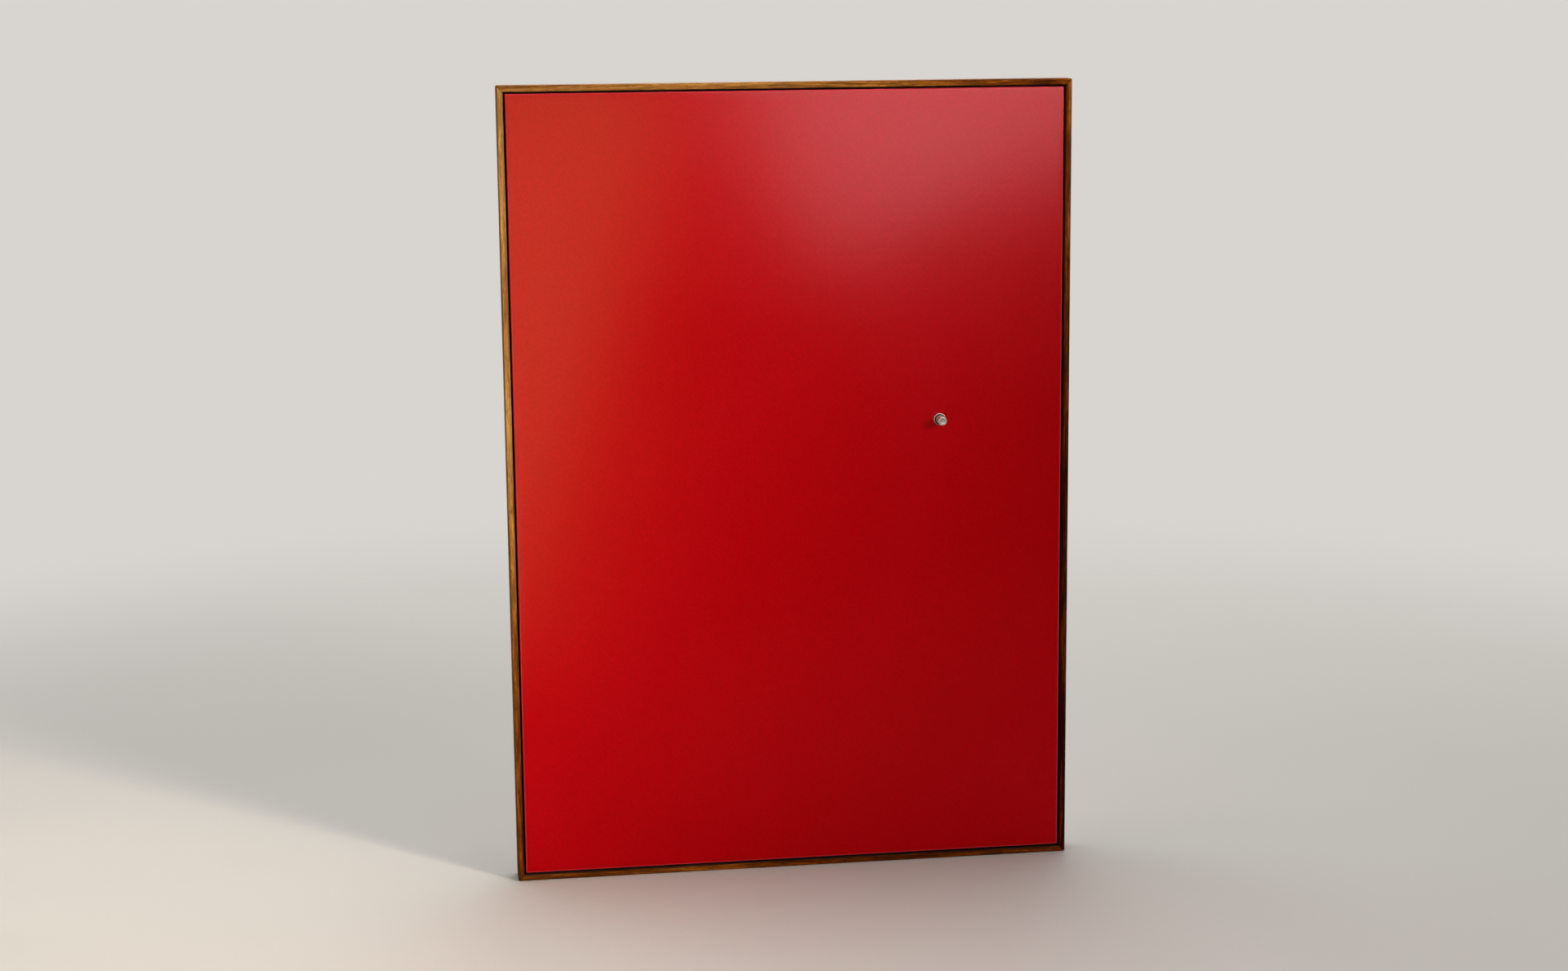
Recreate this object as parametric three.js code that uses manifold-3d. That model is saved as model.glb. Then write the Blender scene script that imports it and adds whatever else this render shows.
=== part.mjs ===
// Framed magnetic board: a folded steel panel floats in a mitred hardwood frame.
// Millimetres, +Z up. The panel faces -Y, the wall side is +Y, and left is -X.
// The origin is the middle of the frame's underside.

import * as THREE from 'three';
import { mergeVertices } from 'three/addons/utils/BufferGeometryUtils.js';
import Module from 'manifold-3d';

const wasm = await Module();
wasm.setup();

// Steel panel
const PANEL_WIDTH = 594;
const PANEL_HEIGHT = 841;
const SHEET_THICKNESS = 1;
const INNER_BEND_RADIUS = 0.2;
const CORNER_SEAM = 0.4;
const PANEL_RECESS = 1;

// Core board inside the panel's folds, and the battens behind it
const CORE_THICKNESS = 6;
const BATTEN_WIDTH = 30;
const BATTEN_THICKNESS = 14;
const BATTEN_INSET = 6;

// Hardwood frame
const FACE_WIDTH = 6.5;
const SHADOW_GAP = 2;
const FLANGE_THICKNESS = 8;
const FLANGE_LAP = 18;
const OUTER_EASE = 1;
const INNER_EASE = 0.6;
const MITRE_GLUE_LINE = 0.3;

// V-nails across the mitres
const NAIL_LEG = 5;
const NAIL_THICKNESS = 0.8;
const NAIL_COVER = 2;
const NAILS_PER_MITRE = 2;

// Countersunk screws from the frame's flange into the battens
const FRAME_SCREW_SHANK = 3.5;
const FRAME_SCREW_HEAD = 7;
const FRAME_SCREW_TIP_COVER = 2;
const SCREWS_PER_RAIL = 2;
const SCREWS_PER_STILE = 3;

// Strap hangers with D-rings
const HANGER_DROP = 180;
const HARDWARE_LINE = 10;
const RING_WIRE = 2;
const RING_INNER_WIDTH = 12;
const RING_INNER_HEIGHT = 10;
const RING_CORNER_RADIUS = 2;
const STRAP_SHEET = 0.8;
const STRAP_LENGTH = 32;
const STRAP_SIDE_GAP = 1;
const HANGER_SCREW_SHANK = 2.8;
const HANGER_SCREW_HEAD = 5.4;
const HANGER_SCREW_TIP_COVER = 1;
const HANGER_SCREW_FIRST = 8;
const HANGER_SCREW_PITCH = 16;

// Cross recess and point of every screw
const RECESS_WIDTH = 0.9;
const RECESS_REACH = 1.6;
const RECESS_DEPTH = 0.8;
const SCREW_POINT_LENGTH = 3;
const SCREW_POINT_RADIUS = 0.3;

// Rubber wall bumpers
const BUMPER_DIAMETER = 12;
const BUMPER_ROUND = 1.5;
const BUMPER_STANDOFF = 1;
const BUMPER_FROM_END = 45;

// Magnet pin
const PIN_X = 162;
const PIN_ABOVE_MIDDLE = 66;
const PIN_HEIGHT = 17;
const PIN_KNOB_DIAMETER = 9.4;
const PIN_KNOB_ROUND = 0.6;
const PIN_NECK_FILLET = 0.8;
const PIN_LIP = 1.8;
const PIN_LIP_THICKNESS = 1.8;
const PIN_LIP_ROUND = 0.4;
const PIN_WALL = 0.9;
const MAGNET_THICKNESS = 4;

// Clearances and facets
const FIT_CLEARANCE = 0.3;
const CUT_MARGIN = 1;
const ARC_STEPS = 4;
const SCREW_SIDES = 16;
const EYE_SIDES = 20;
const BUMPER_SIDES = 24;
const PIN_SIDES = 32;
const WIRE_SIDES = 8;

// Sizes that follow from the ones above
const BEND_RADIUS = INNER_BEND_RADIUS + SHEET_THICKNESS;
const RETURN_DEPTH = SHEET_THICKNESS + CORE_THICKNESS;
const CORE_EDGE = SHEET_THICKNESS + INNER_BEND_RADIUS + FIT_CLEARANCE;
const FRAME_DEPTH = PANEL_RECESS + RETURN_DEPTH + BATTEN_THICKNESS + FLANGE_THICKNESS;
const OUTER_WIDTH = PANEL_WIDTH + 2 * (SHADOW_GAP + FACE_WIDTH);
const OUTER_HEIGHT = PANEL_HEIGHT + 2 * (SHADOW_GAP + FACE_WIDTH);
const BATTEN_LINE = FACE_WIDTH + SHADOW_GAP + BATTEN_INSET;
const RAIL_WIDTH = BATTEN_LINE + FLANGE_LAP;
const SCREW_LINE = BATTEN_LINE + FLANGE_LAP / 2;
const NAIL_HEIGHT = FLANGE_THICKNESS - NAIL_COVER;
const FRAME_SCREW_LENGTH = FLANGE_THICKNESS + BATTEN_THICKNESS - FRAME_SCREW_TIP_COVER;
const STRAP_THICKNESS = 2 * STRAP_SHEET;
const STRAP_WIDTH = RING_INNER_WIDTH - 2 * STRAP_SIDE_GAP;
const HANGER_SCREW_LENGTH = STRAP_THICKNESS + FLANGE_THICKNESS - HANGER_SCREW_TIP_COVER;
const EYE_INNER_RADIUS = RING_WIRE / 2 + FIT_CLEARANCE;
const EYE_OUTER_RADIUS = EYE_INNER_RADIUS + STRAP_SHEET;
const EYE_STANDOFF = STRAP_THICKNESS + FIT_CLEARANCE + RING_WIRE / 2;
const BUMPER_HEIGHT = EYE_STANDOFF + EYE_OUTER_RADIUS + BUMPER_STANDOFF;
const MAGNET_RADIUS = PIN_KNOB_DIAMETER / 2 - PIN_WALL - FIT_CLEARANCE;

// Levels from the front to the back, and places on the back of the frame
const FRONT_Y = -FRAME_DEPTH / 2;
const PANEL_Y = FRONT_Y + PANEL_RECESS;
const CORE_Y = PANEL_Y + SHEET_THICKNESS;
const BATTEN_Y = CORE_Y + CORE_THICKNESS;
const FLANGE_Y = BATTEN_Y + BATTEN_THICKNESS;
const BACK_Y = FLANGE_Y + FLANGE_THICKNESS;
const MIDDLE_Z = OUTER_HEIGHT / 2;
const HANGER_Z = OUTER_HEIGHT - HANGER_DROP;
const HARDWARE_X = OUTER_WIDTH / 2 - HARDWARE_LINE;

const QUARTER_TURN = Math.PI / 2;
const SIDES = { left: -1, right: 1 };
const ENDS = { bottom: -1, top: 1 };

// Finishes
const WALNUT = { color: 0x8a4f26, roughness: 0.55, metalness: 0 };
const RED_POWDER_COAT = { color: 0xb5121b, roughness: 0.42, metalness: 0 };
const FIBREBOARD = { color: 0xa98a62, roughness: 0.9, metalness: 0 };
const PINE = { color: 0xd0ab78, roughness: 0.75, metalness: 0 };
const ZINC_PLATE = { color: 0xb9bcc0, roughness: 0.35, metalness: 1 };
const BRIGHT_NICKEL = { color: 0xd6d3cc, roughness: 0.18, metalness: 1 };
const RUBBER = { color: 0x1c1c1c, roughness: 0.85, metalness: 0 };

const board = new THREE.Group();

function addPiece(name, geometry, finish, place = [0, 0, 0]) {
  const material = new THREE.MeshStandardMaterial({ ...finish, flatShading: true });
  const mesh = new THREE.Mesh(geometry, material);
  mesh.name = name;
  mesh.position.set(...place);
  board.add(mesh);
}

// Keeps positions only, joins shared corners and drops triangles without area.
function weld(geometry) {
  const bare = geometry.clone();
  bare.deleteAttribute('normal');
  bare.deleteAttribute('uv');
  const merged = mergeVertices(bare);
  const corners = merged.getIndex().array;
  const kept = [];
  for (let i = 0; i < corners.length; i += 3) {
    const [a, b, c] = corners.slice(i, i + 3);
    if (a !== b && b !== c && c !== a) {
      kept.push(a, b, c);
    }
  }
  merged.setIndex(kept);
  return merged;
}

function toSolid(geometry) {
  const welded = weld(geometry);
  const vertProperties = new Float32Array(welded.getAttribute('position').array);
  const triVerts = new Uint32Array(welded.getIndex().array);
  return new wasm.Manifold(new wasm.Mesh({ numProp: 3, vertProperties, triVerts }));
}

function toGeometry(solid) {
  const mesh = solid.getMesh();
  const geometry = new THREE.BufferGeometry();
  geometry.setAttribute('position', new THREE.BufferAttribute(mesh.vertProperties, 3));
  geometry.setIndex(new THREE.BufferAttribute(mesh.triVerts, 1));
  return geometry;
}

function cut(geometry, tools) {
  let solid = toSolid(geometry);
  for (const tool of tools) {
    solid = solid.subtract(toSolid(tool));
  }
  return toGeometry(solid);
}

function common(first, second) {
  return toGeometry(toSolid(first).intersect(toSolid(second)));
}

// A box given by its lowest and highest corners.
function boxBetween(low, high) {
  const size = high.map((value, axis) => value - low[axis]);
  const middle = high.map((value, axis) => (value + low[axis]) / 2);
  return new THREE.BoxGeometry(...size).translate(...middle);
}

// Skins rings of equal point counts, each turning right-handed about the way to the next.
// Without cap triangles the last ring joins the first.
function loft(rings, capTriangles = null) {
  const count = rings[0].length;
  const last = rings.length - 1;
  const index = [];
  const spans = capTriangles ? last : rings.length;
  for (let i = 0; i < spans; i += 1) {
    const here = i * count;
    const there = ((i + 1) % rings.length) * count;
    for (let j = 0; j < count; j += 1) {
      const k = (j + 1) % count;
      index.push(here + j, here + k, there + k);
      index.push(here + j, there + k, there + j);
    }
  }
  for (const [a, b, c] of capTriangles ?? []) {
    index.push(c, b, a);
    index.push(last * count + a, last * count + b, last * count + c);
  }
  const geometry = new THREE.BufferGeometry().setFromPoints(rings.flat());
  geometry.setIndex(index);
  return geometry;
}

// A body turned about the Y axis. The profile runs from its lowest point on the axis to its highest.
function turned(profile, sides) {
  return weld(new THREE.LatheGeometry(profile, sides));
}

function arcPoints(centreX, centreY, radius, startAngle, endAngle) {
  const clockwise = endAngle < startAngle;
  const arc = new THREE.EllipseCurve(centreX, centreY, radius, radius, startAngle, endAngle, clockwise);
  return arc.getPoints(ARC_STEPS);
}

// An outline drawn in X and Z, extruded from a level towards the front.
function extrudeForward(shape, backY, depth) {
  const options = { depth, bevelEnabled: false, curveSegments: EYE_SIDES };
  return new THREE.ExtrudeGeometry(shape, options).rotateX(QUARTER_TURN).translate(0, backY, 0);
}

// Countersunk screws. The head is flush at y = 0 and the point is at y = -length.

function screwProfile(shank, head, length, clearance) {
  const shankRadius = shank / 2 + clearance;
  const headRadius = head / 2 + clearance;
  return [
    new THREE.Vector2(0, -length - clearance),
    new THREE.Vector2(SCREW_POINT_RADIUS + clearance, -length - clearance),
    new THREE.Vector2(shankRadius, SCREW_POINT_LENGTH - length),
    new THREE.Vector2(shankRadius, shankRadius - headRadius),
    new THREE.Vector2(headRadius, 0),
  ];
}

function screwBody(shank, head, length) {
  const profile = [...screwProfile(shank, head, length, 0), new THREE.Vector2(0, 0)];
  const halfWidth = RECESS_WIDTH / 2;
  const recess = [
    boxBetween([-RECESS_REACH, -RECESS_DEPTH, -halfWidth], [RECESS_REACH, CUT_MARGIN, halfWidth]),
    boxBetween([-halfWidth, -RECESS_DEPTH, -RECESS_REACH], [halfWidth, CUT_MARGIN, RECESS_REACH]),
  ];
  return cut(turned(profile, SCREW_SIDES), recess);
}

function screwHole(shank, head, length, place) {
  const profile = screwProfile(shank, head, length, FIT_CLEARANCE);
  const mouthRadius = profile.at(-1).x;
  profile.push(new THREE.Vector2(mouthRadius, CUT_MARGIN), new THREE.Vector2(0, CUT_MARGIN));
  return turned(profile, SCREW_SIDES).translate(...place);
}

// Steel panel: a sheet with all four edges folded back round the core board

function foldedRings(inset, radius, frontY, backY) {
  const halfWidth = PANEL_WIDTH / 2 - inset;
  const halfHeight = PANEL_HEIGHT / 2 - inset;
  const rectangle = (shrink, y) => [
    new THREE.Vector3(shrink - halfWidth, y, MIDDLE_Z + shrink - halfHeight),
    new THREE.Vector3(shrink - halfWidth, y, MIDDLE_Z + halfHeight - shrink),
    new THREE.Vector3(halfWidth - shrink, y, MIDDLE_Z + halfHeight - shrink),
    new THREE.Vector3(halfWidth - shrink, y, MIDDLE_Z + shrink - halfHeight),
  ];
  const bend = arcPoints(radius, radius, radius, -QUARTER_TURN, -2 * QUARTER_TURN);
  const rings = bend.map(({ x, y }) => rectangle(x, frontY + y));
  rings.push(rectangle(0, backY));
  return rings;
}

// The mitred seam between two folds at a corner, behind the bend.
function cornerSeam(side, end) {
  const frontY = PANEL_Y + BEND_RADIUS + CORNER_SEAM;
  const depth = BATTEN_Y + CUT_MARGIN - frontY;
  const seam = new THREE.BoxGeometry(CORNER_SEAM, depth, 2 * BEND_RADIUS);
  seam.rotateY((side * end * QUARTER_TURN) / 2);
  return seam.translate((side * PANEL_WIDTH) / 2, frontY + depth / 2, MIDDLE_Z + (end * PANEL_HEIGHT) / 2);
}

function addPanel() {
  const caps = [[0, 1, 2], [0, 2, 3]];
  const outside = loft(foldedRings(0, BEND_RADIUS, PANEL_Y, BATTEN_Y), caps);
  const pocket = loft(foldedRings(SHEET_THICKNESS, INNER_BEND_RADIUS, CORE_Y, BATTEN_Y + CUT_MARGIN), caps);
  const seams = Object.values(SIDES).flatMap((side) => (
    Object.values(ENDS).map((end) => cornerSeam(side, end))
  ));
  addPiece('steel_panel', cut(outside, [pocket, ...seams]), RED_POWDER_COAT);
}

// Core board, and the batten frame glued to its back

function addCore() {
  const halfWidth = PANEL_WIDTH / 2 - CORE_EDGE;
  const halfHeight = PANEL_HEIGHT / 2 - CORE_EDGE;
  const low = [-halfWidth, CORE_Y, MIDDLE_Z - halfHeight];
  const high = [halfWidth, BATTEN_Y, MIDDLE_Z + halfHeight];
  addPiece('core_board', boxBetween(low, high), FIBREBOARD);
}

function addBattens(screwHoles) {
  const halfWidth = OUTER_WIDTH / 2 - BATTEN_LINE;
  const halfHeight = OUTER_HEIGHT / 2 - BATTEN_LINE;
  const innerWidth = halfWidth - BATTEN_WIDTH;
  const innerHeight = halfHeight - BATTEN_WIDTH;
  const spans = {
    batten_bottom: [-halfWidth, halfWidth, -halfHeight, -innerHeight],
    batten_top: [-halfWidth, halfWidth, innerHeight, halfHeight],
    batten_left: [-halfWidth, -innerWidth, -innerHeight, innerHeight],
    batten_right: [innerWidth, halfWidth, -innerHeight, innerHeight],
    batten_cross: [-innerWidth, innerWidth, -BATTEN_WIDTH / 2, BATTEN_WIDTH / 2],
  };
  for (const [name, [left, right, bottom, top]] of Object.entries(spans)) {
    const low = [left, BATTEN_Y, MIDDLE_Z + bottom];
    const high = [right, FLANGE_Y, MIDDLE_Z + top];
    addPiece(name, cut(boxBetween(low, high), screwHoles), PINE);
  }
}

// Frame members: an L section with eased edges, swept between two mitred ends

// The section runs inwards from the outer face in x, and from the front to the back in y.
function memberSection() {
  const flangeFront = FRAME_DEPTH - FLANGE_THICKNESS;
  return [
    ...arcPoints(OUTER_EASE, OUTER_EASE, OUTER_EASE, 2 * QUARTER_TURN, 3 * QUARTER_TURN),
    ...arcPoints(FACE_WIDTH - INNER_EASE, INNER_EASE, INNER_EASE, 3 * QUARTER_TURN, 4 * QUARTER_TURN),
    new THREE.Vector2(FACE_WIDTH, flangeFront),
    new THREE.Vector2(RAIL_WIDTH, flangeFront),
    new THREE.Vector2(RAIL_WIDTH, FRAME_DEPTH),
    ...arcPoints(OUTER_EASE, FRAME_DEPTH - OUTER_EASE, OUTER_EASE, QUARTER_TURN, 2 * QUARTER_TURN),
  ];
}

// A member along X whose outer face lies at z = 0 and looks down.
function mitredMember(length) {
  const section = memberSection();
  const glueOffset = (MITRE_GLUE_LINE / 2) * Math.SQRT2;
  const ring = (side) => section.map(({ x, y }) => (
    new THREE.Vector3(side * (length / 2 - x - glueOffset), FRONT_Y + y, x)
  ));
  return loft([ring(1), ring(-1)], THREE.ShapeUtils.triangulateShape(section, []));
}

function addFrame(tools) {
  const members = ['frame_bottom_rail', 'frame_left_stile', 'frame_top_rail', 'frame_right_stile'];
  members.forEach((name, turns) => {
    const upright = turns % 2 === 1;
    const length = upright ? OUTER_HEIGHT : OUTER_WIDTH;
    const across = upright ? OUTER_WIDTH : OUTER_HEIGHT;
    const member = mitredMember(length).translate(0, 0, -across / 2);
    member.rotateY(turns * QUARTER_TURN).translate(0, 0, MIDDLE_Z);
    addPiece(name, cut(member, tools), WALNUT);
  });
}

// V-nails: each leg lies along one of the two members that meet at the corner

function nailPlaces() {
  const places = [];
  for (const [sideName, side] of Object.entries(SIDES)) {
    for (const [endName, end] of Object.entries(ENDS)) {
      for (let number = 1; number <= NAILS_PER_MITRE; number += 1) {
        const along = (RAIL_WIDTH * number) / (NAILS_PER_MITRE + 1) - NAIL_LEG / 2;
        const x = side * (OUTER_WIDTH / 2 - along);
        const z = MIDDLE_Z + end * (OUTER_HEIGHT / 2 - along);
        places.push({ name: `v_nail_${endName}_${sideName}_${number}`, x, z, side, end });
      }
    }
  }
  return places;
}

function nailBody({ x, z, side, end }, clearance, depth, backY) {
  const heel = -clearance;
  const inner = NAIL_THICKNESS + clearance;
  const tip = NAIL_LEG + clearance;
  const outline = [[heel, heel], [tip, heel], [tip, inner], [inner, inner], [inner, tip], [heel, tip]];
  const points = outline.map(([across, up]) => new THREE.Vector2(x - side * across, z - end * up));
  return extrudeForward(new THREE.Shape(points), backY, depth);
}

function addNails(places) {
  for (const place of places) {
    addPiece(place.name, nailBody(place, 0, NAIL_HEIGHT, BACK_Y), ZINC_PLATE);
  }
}

function nailSlots(places) {
  return places.map((place) => (
    nailBody(place, FIT_CLEARANCE, NAIL_HEIGHT + CUT_MARGIN, BACK_Y + CUT_MARGIN)
  ));
}

// Frame screws, spread evenly along each member

function frameScrewPlaces() {
  const spread = (count, length, index) => length * ((index + 1 / 2) / count - 1 / 2);
  const places = [];
  for (const [name, end] of Object.entries(ENDS)) {
    const z = MIDDLE_Z + end * (OUTER_HEIGHT / 2 - SCREW_LINE);
    for (let i = 0; i < SCREWS_PER_RAIL; i += 1) {
      const x = spread(SCREWS_PER_RAIL, OUTER_WIDTH, i);
      places.push({ name: `frame_screw_${name}_${i + 1}`, place: [x, BACK_Y, z] });
    }
  }
  for (const [name, side] of Object.entries(SIDES)) {
    const x = side * (OUTER_WIDTH / 2 - SCREW_LINE);
    for (let i = 0; i < SCREWS_PER_STILE; i += 1) {
      const z = MIDDLE_Z + spread(SCREWS_PER_STILE, OUTER_HEIGHT, i);
      places.push({ name: `frame_screw_${name}_${i + 1}`, place: [x, BACK_Y, z] });
    }
  }
  return places;
}

function frameScrewHoles(places) {
  return places.map(({ place }) => (
    screwHole(FRAME_SCREW_SHANK, FRAME_SCREW_HEAD, FRAME_SCREW_LENGTH, place)
  ));
}

function addFrameScrews(places) {
  for (const { name, place } of places) {
    const body = screwBody(FRAME_SCREW_SHANK, FRAME_SCREW_HEAD, FRAME_SCREW_LENGTH);
    addPiece(name, body, ZINC_PLATE, place);
  }
}

// Strap hangers: a doubled strap whose fold makes the eye that a D-ring swings in

function hangerScrewPlaces() {
  return Object.entries(SIDES).flatMap(([name, side]) => (
    [HANGER_SCREW_FIRST, HANGER_SCREW_FIRST + HANGER_SCREW_PITCH].map((drop, index) => ({
      name: `hanger_screw_${name}_${index + 1}`,
      place: [side * HARDWARE_X, BACK_Y + STRAP_THICKNESS, HANGER_Z - drop],
    }))
  ));
}

function hangerScrewHoles(places) {
  return places.map(({ place }) => (
    screwHole(HANGER_SCREW_SHANK, HANGER_SCREW_HEAD, HANGER_SCREW_LENGTH, place)
  ));
}

function addHangerScrews(places) {
  for (const { name, place } of places) {
    const body = screwBody(HANGER_SCREW_SHANK, HANGER_SCREW_HEAD, HANGER_SCREW_LENGTH);
    addPiece(name, body, ZINC_PLATE, place);
  }
}

// The strap seen from the side: x runs off the frame's back, y runs up, and the eye is at y = 0.
function strapSection() {
  const eyeToFace = EYE_STANDOFF - STRAP_THICKNESS;
  const meetAngle = Math.PI + Math.acos(eyeToFace / EYE_OUTER_RADIUS);
  const section = new THREE.Shape();
  section.moveTo(0, -STRAP_LENGTH);
  section.lineTo(STRAP_THICKNESS, -STRAP_LENGTH);
  section.lineTo(STRAP_THICKNESS, EYE_OUTER_RADIUS * Math.sin(meetAngle));
  section.absarc(EYE_STANDOFF, 0, EYE_OUTER_RADIUS, meetAngle, 3 * Math.PI, false);
  section.lineTo(0, -EYE_OUTER_RADIUS);
  const eye = new THREE.Path();
  eye.absarc(EYE_STANDOFF, 0, EYE_INNER_RADIUS, 0, 2 * Math.PI, true);
  section.holes.push(eye);
  return section;
}

// The strap seen from the back: square at the eye, round at its lower end.
function strapPlan() {
  const radius = STRAP_WIDTH / 2;
  const plan = new THREE.Shape();
  plan.moveTo(radius, EYE_OUTER_RADIUS + CUT_MARGIN);
  plan.lineTo(-radius, EYE_OUTER_RADIUS + CUT_MARGIN);
  plan.lineTo(-radius, radius - STRAP_LENGTH);
  plan.absarc(0, radius - STRAP_LENGTH, radius, Math.PI, 2 * Math.PI, false);
  return plan;
}

function strapBody() {
  const options = { depth: STRAP_WIDTH + CUT_MARGIN, bevelEnabled: false, curveSegments: EYE_SIDES };
  const bent = new THREE.ExtrudeGeometry(strapSection(), options);
  bent.translate(0, 0, -options.depth / 2).rotateX(QUARTER_TURN).rotateZ(QUARTER_TURN);
  const depth = BUMPER_HEIGHT + 2 * CUT_MARGIN;
  return common(bent, extrudeForward(strapPlan(), BUMPER_HEIGHT + CUT_MARGIN, depth));
}

// The middle of the ring's wire, hanging down from the eye.
function ringPath() {
  const halfWidth = (RING_INNER_WIDTH + RING_WIRE) / 2;
  const cornerX = halfWidth - RING_CORNER_RADIUS;
  const bowY = halfWidth - RING_INNER_HEIGHT - RING_WIRE;
  const path = new THREE.Path();
  path.moveTo(-cornerX, 0);
  path.lineTo(cornerX, 0);
  path.absarc(cornerX, -RING_CORNER_RADIUS, RING_CORNER_RADIUS, QUARTER_TURN, 0, true);
  path.lineTo(halfWidth, bowY);
  path.absarc(0, bowY, halfWidth, 0, -Math.PI, true);
  path.lineTo(-halfWidth, -RING_CORNER_RADIUS);
  path.absarc(-cornerX, -RING_CORNER_RADIUS, RING_CORNER_RADIUS, Math.PI, QUARTER_TURN, true);
  return path;
}

function ringBody() {
  const points = ringPath().getPoints(ARC_STEPS).slice(0, -1);
  const across = new THREE.Vector3(0, 1, 0);
  const rings = points.map((point, i) => {
    const before = points.at(i - 1);
    const after = points[(i + 1) % points.length];
    const along = new THREE.Vector3(after.x - before.x, 0, after.y - before.y).normalize();
    const outward = new THREE.Vector3().crossVectors(across, along);
    return Array.from({ length: WIRE_SIDES }, (unused, side) => {
      const angle = (2 * Math.PI * side) / WIRE_SIDES;
      return new THREE.Vector3(point.x, 0, point.y)
        .addScaledVector(outward, (RING_WIRE / 2) * Math.cos(angle))
        .addScaledVector(across, (RING_WIRE / 2) * Math.sin(angle));
    });
  });
  return loft(rings);
}

function addHangers(screwHoles) {
  for (const [name, side] of Object.entries(SIDES)) {
    const x = side * HARDWARE_X;
    const strap = strapBody().translate(x, BACK_Y, HANGER_Z);
    addPiece(`hanger_strap_${name}`, cut(strap, screwHoles), ZINC_PLATE);
    addPiece(`hanger_ring_${name}`, ringBody(), ZINC_PLATE, [x, BACK_Y + EYE_STANDOFF, HANGER_Z]);
  }
}

// Rubber wall bumpers, a little taller than the hangers

function addBumpers() {
  const radius = BUMPER_DIAMETER / 2;
  const profile = [
    new THREE.Vector2(0, 0),
    new THREE.Vector2(radius, 0),
    ...arcPoints(radius - BUMPER_ROUND, BUMPER_HEIGHT - BUMPER_ROUND, BUMPER_ROUND, 0, QUARTER_TURN),
    new THREE.Vector2(0, BUMPER_HEIGHT),
  ];
  for (const [sideName, side] of Object.entries(SIDES)) {
    for (const [endName, end] of Object.entries(ENDS)) {
      const z = MIDDLE_Z + end * (OUTER_HEIGHT / 2 - BUMPER_FROM_END);
      const place = [side * HARDWARE_X, BACK_Y, z];
      addPiece(`wall_bumper_${endName}_${sideName}`, turned(profile, BUMPER_SIDES), RUBBER, place);
    }
  }
}

// Magnet pin: a turned knob on a wider lip, with a disc magnet let into its base

function pinProfile() {
  const knob = PIN_KNOB_DIAMETER / 2;
  const lip = knob + PIN_LIP;
  const neckY = -PIN_LIP_THICKNESS - PIN_NECK_FILLET;
  const lipRoundY = PIN_LIP_ROUND - PIN_LIP_THICKNESS;
  const recess = MAGNET_RADIUS + FIT_CLEARANCE;
  return [
    new THREE.Vector2(0, -PIN_HEIGHT),
    ...arcPoints(knob - PIN_KNOB_ROUND, PIN_KNOB_ROUND - PIN_HEIGHT, PIN_KNOB_ROUND, -QUARTER_TURN, 0),
    ...arcPoints(knob + PIN_NECK_FILLET, neckY, PIN_NECK_FILLET, 2 * QUARTER_TURN, QUARTER_TURN),
    ...arcPoints(lip - PIN_LIP_ROUND, lipRoundY, PIN_LIP_ROUND, -QUARTER_TURN, 0),
    new THREE.Vector2(lip, 0),
    new THREE.Vector2(recess, 0),
    new THREE.Vector2(recess, -MAGNET_THICKNESS),
    new THREE.Vector2(0, -MAGNET_THICKNESS),
  ];
}

function addPin() {
  const place = [PIN_X, PANEL_Y, MIDDLE_Z + PIN_ABOVE_MIDDLE];
  const magnet = new THREE.CylinderGeometry(MAGNET_RADIUS, MAGNET_RADIUS, MAGNET_THICKNESS, PIN_SIDES);
  addPiece('pin_knob', turned(pinProfile(), PIN_SIDES), BRIGHT_NICKEL, place);
  addPiece('pin_magnet', magnet.translate(0, -MAGNET_THICKNESS / 2, 0), BRIGHT_NICKEL, place);
}

const nails = nailPlaces();
const frameScrews = frameScrewPlaces();
const hangerScrews = hangerScrewPlaces();
const flangeHoles = frameScrewHoles(frameScrews);
const strapHoles = hangerScrewHoles(hangerScrews);

addPanel();
addCore();
addBattens(flangeHoles);
addFrame([...nailSlots(nails), ...flangeHoles, ...strapHoles]);
addNails(nails);
addFrameScrews(frameScrews);
addHangers(strapHoles);
addHangerScrews(hangerScrews);
addBumpers();
addPin();

export default board;
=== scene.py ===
"""Looks of the framed magnetic board: fine meshes, finishes, studio and camera.

Metres, +Z up. The panel faces -Y, the wall side is +Y and left is -X.
"""

import logging
import math
from collections.abc import Iterable, Sequence
from dataclasses import dataclass, field, fields
from enum import Enum
from functools import cache

import bmesh
import bpy
from mathutils import Matrix, Quaternion, Vector, noise


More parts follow.
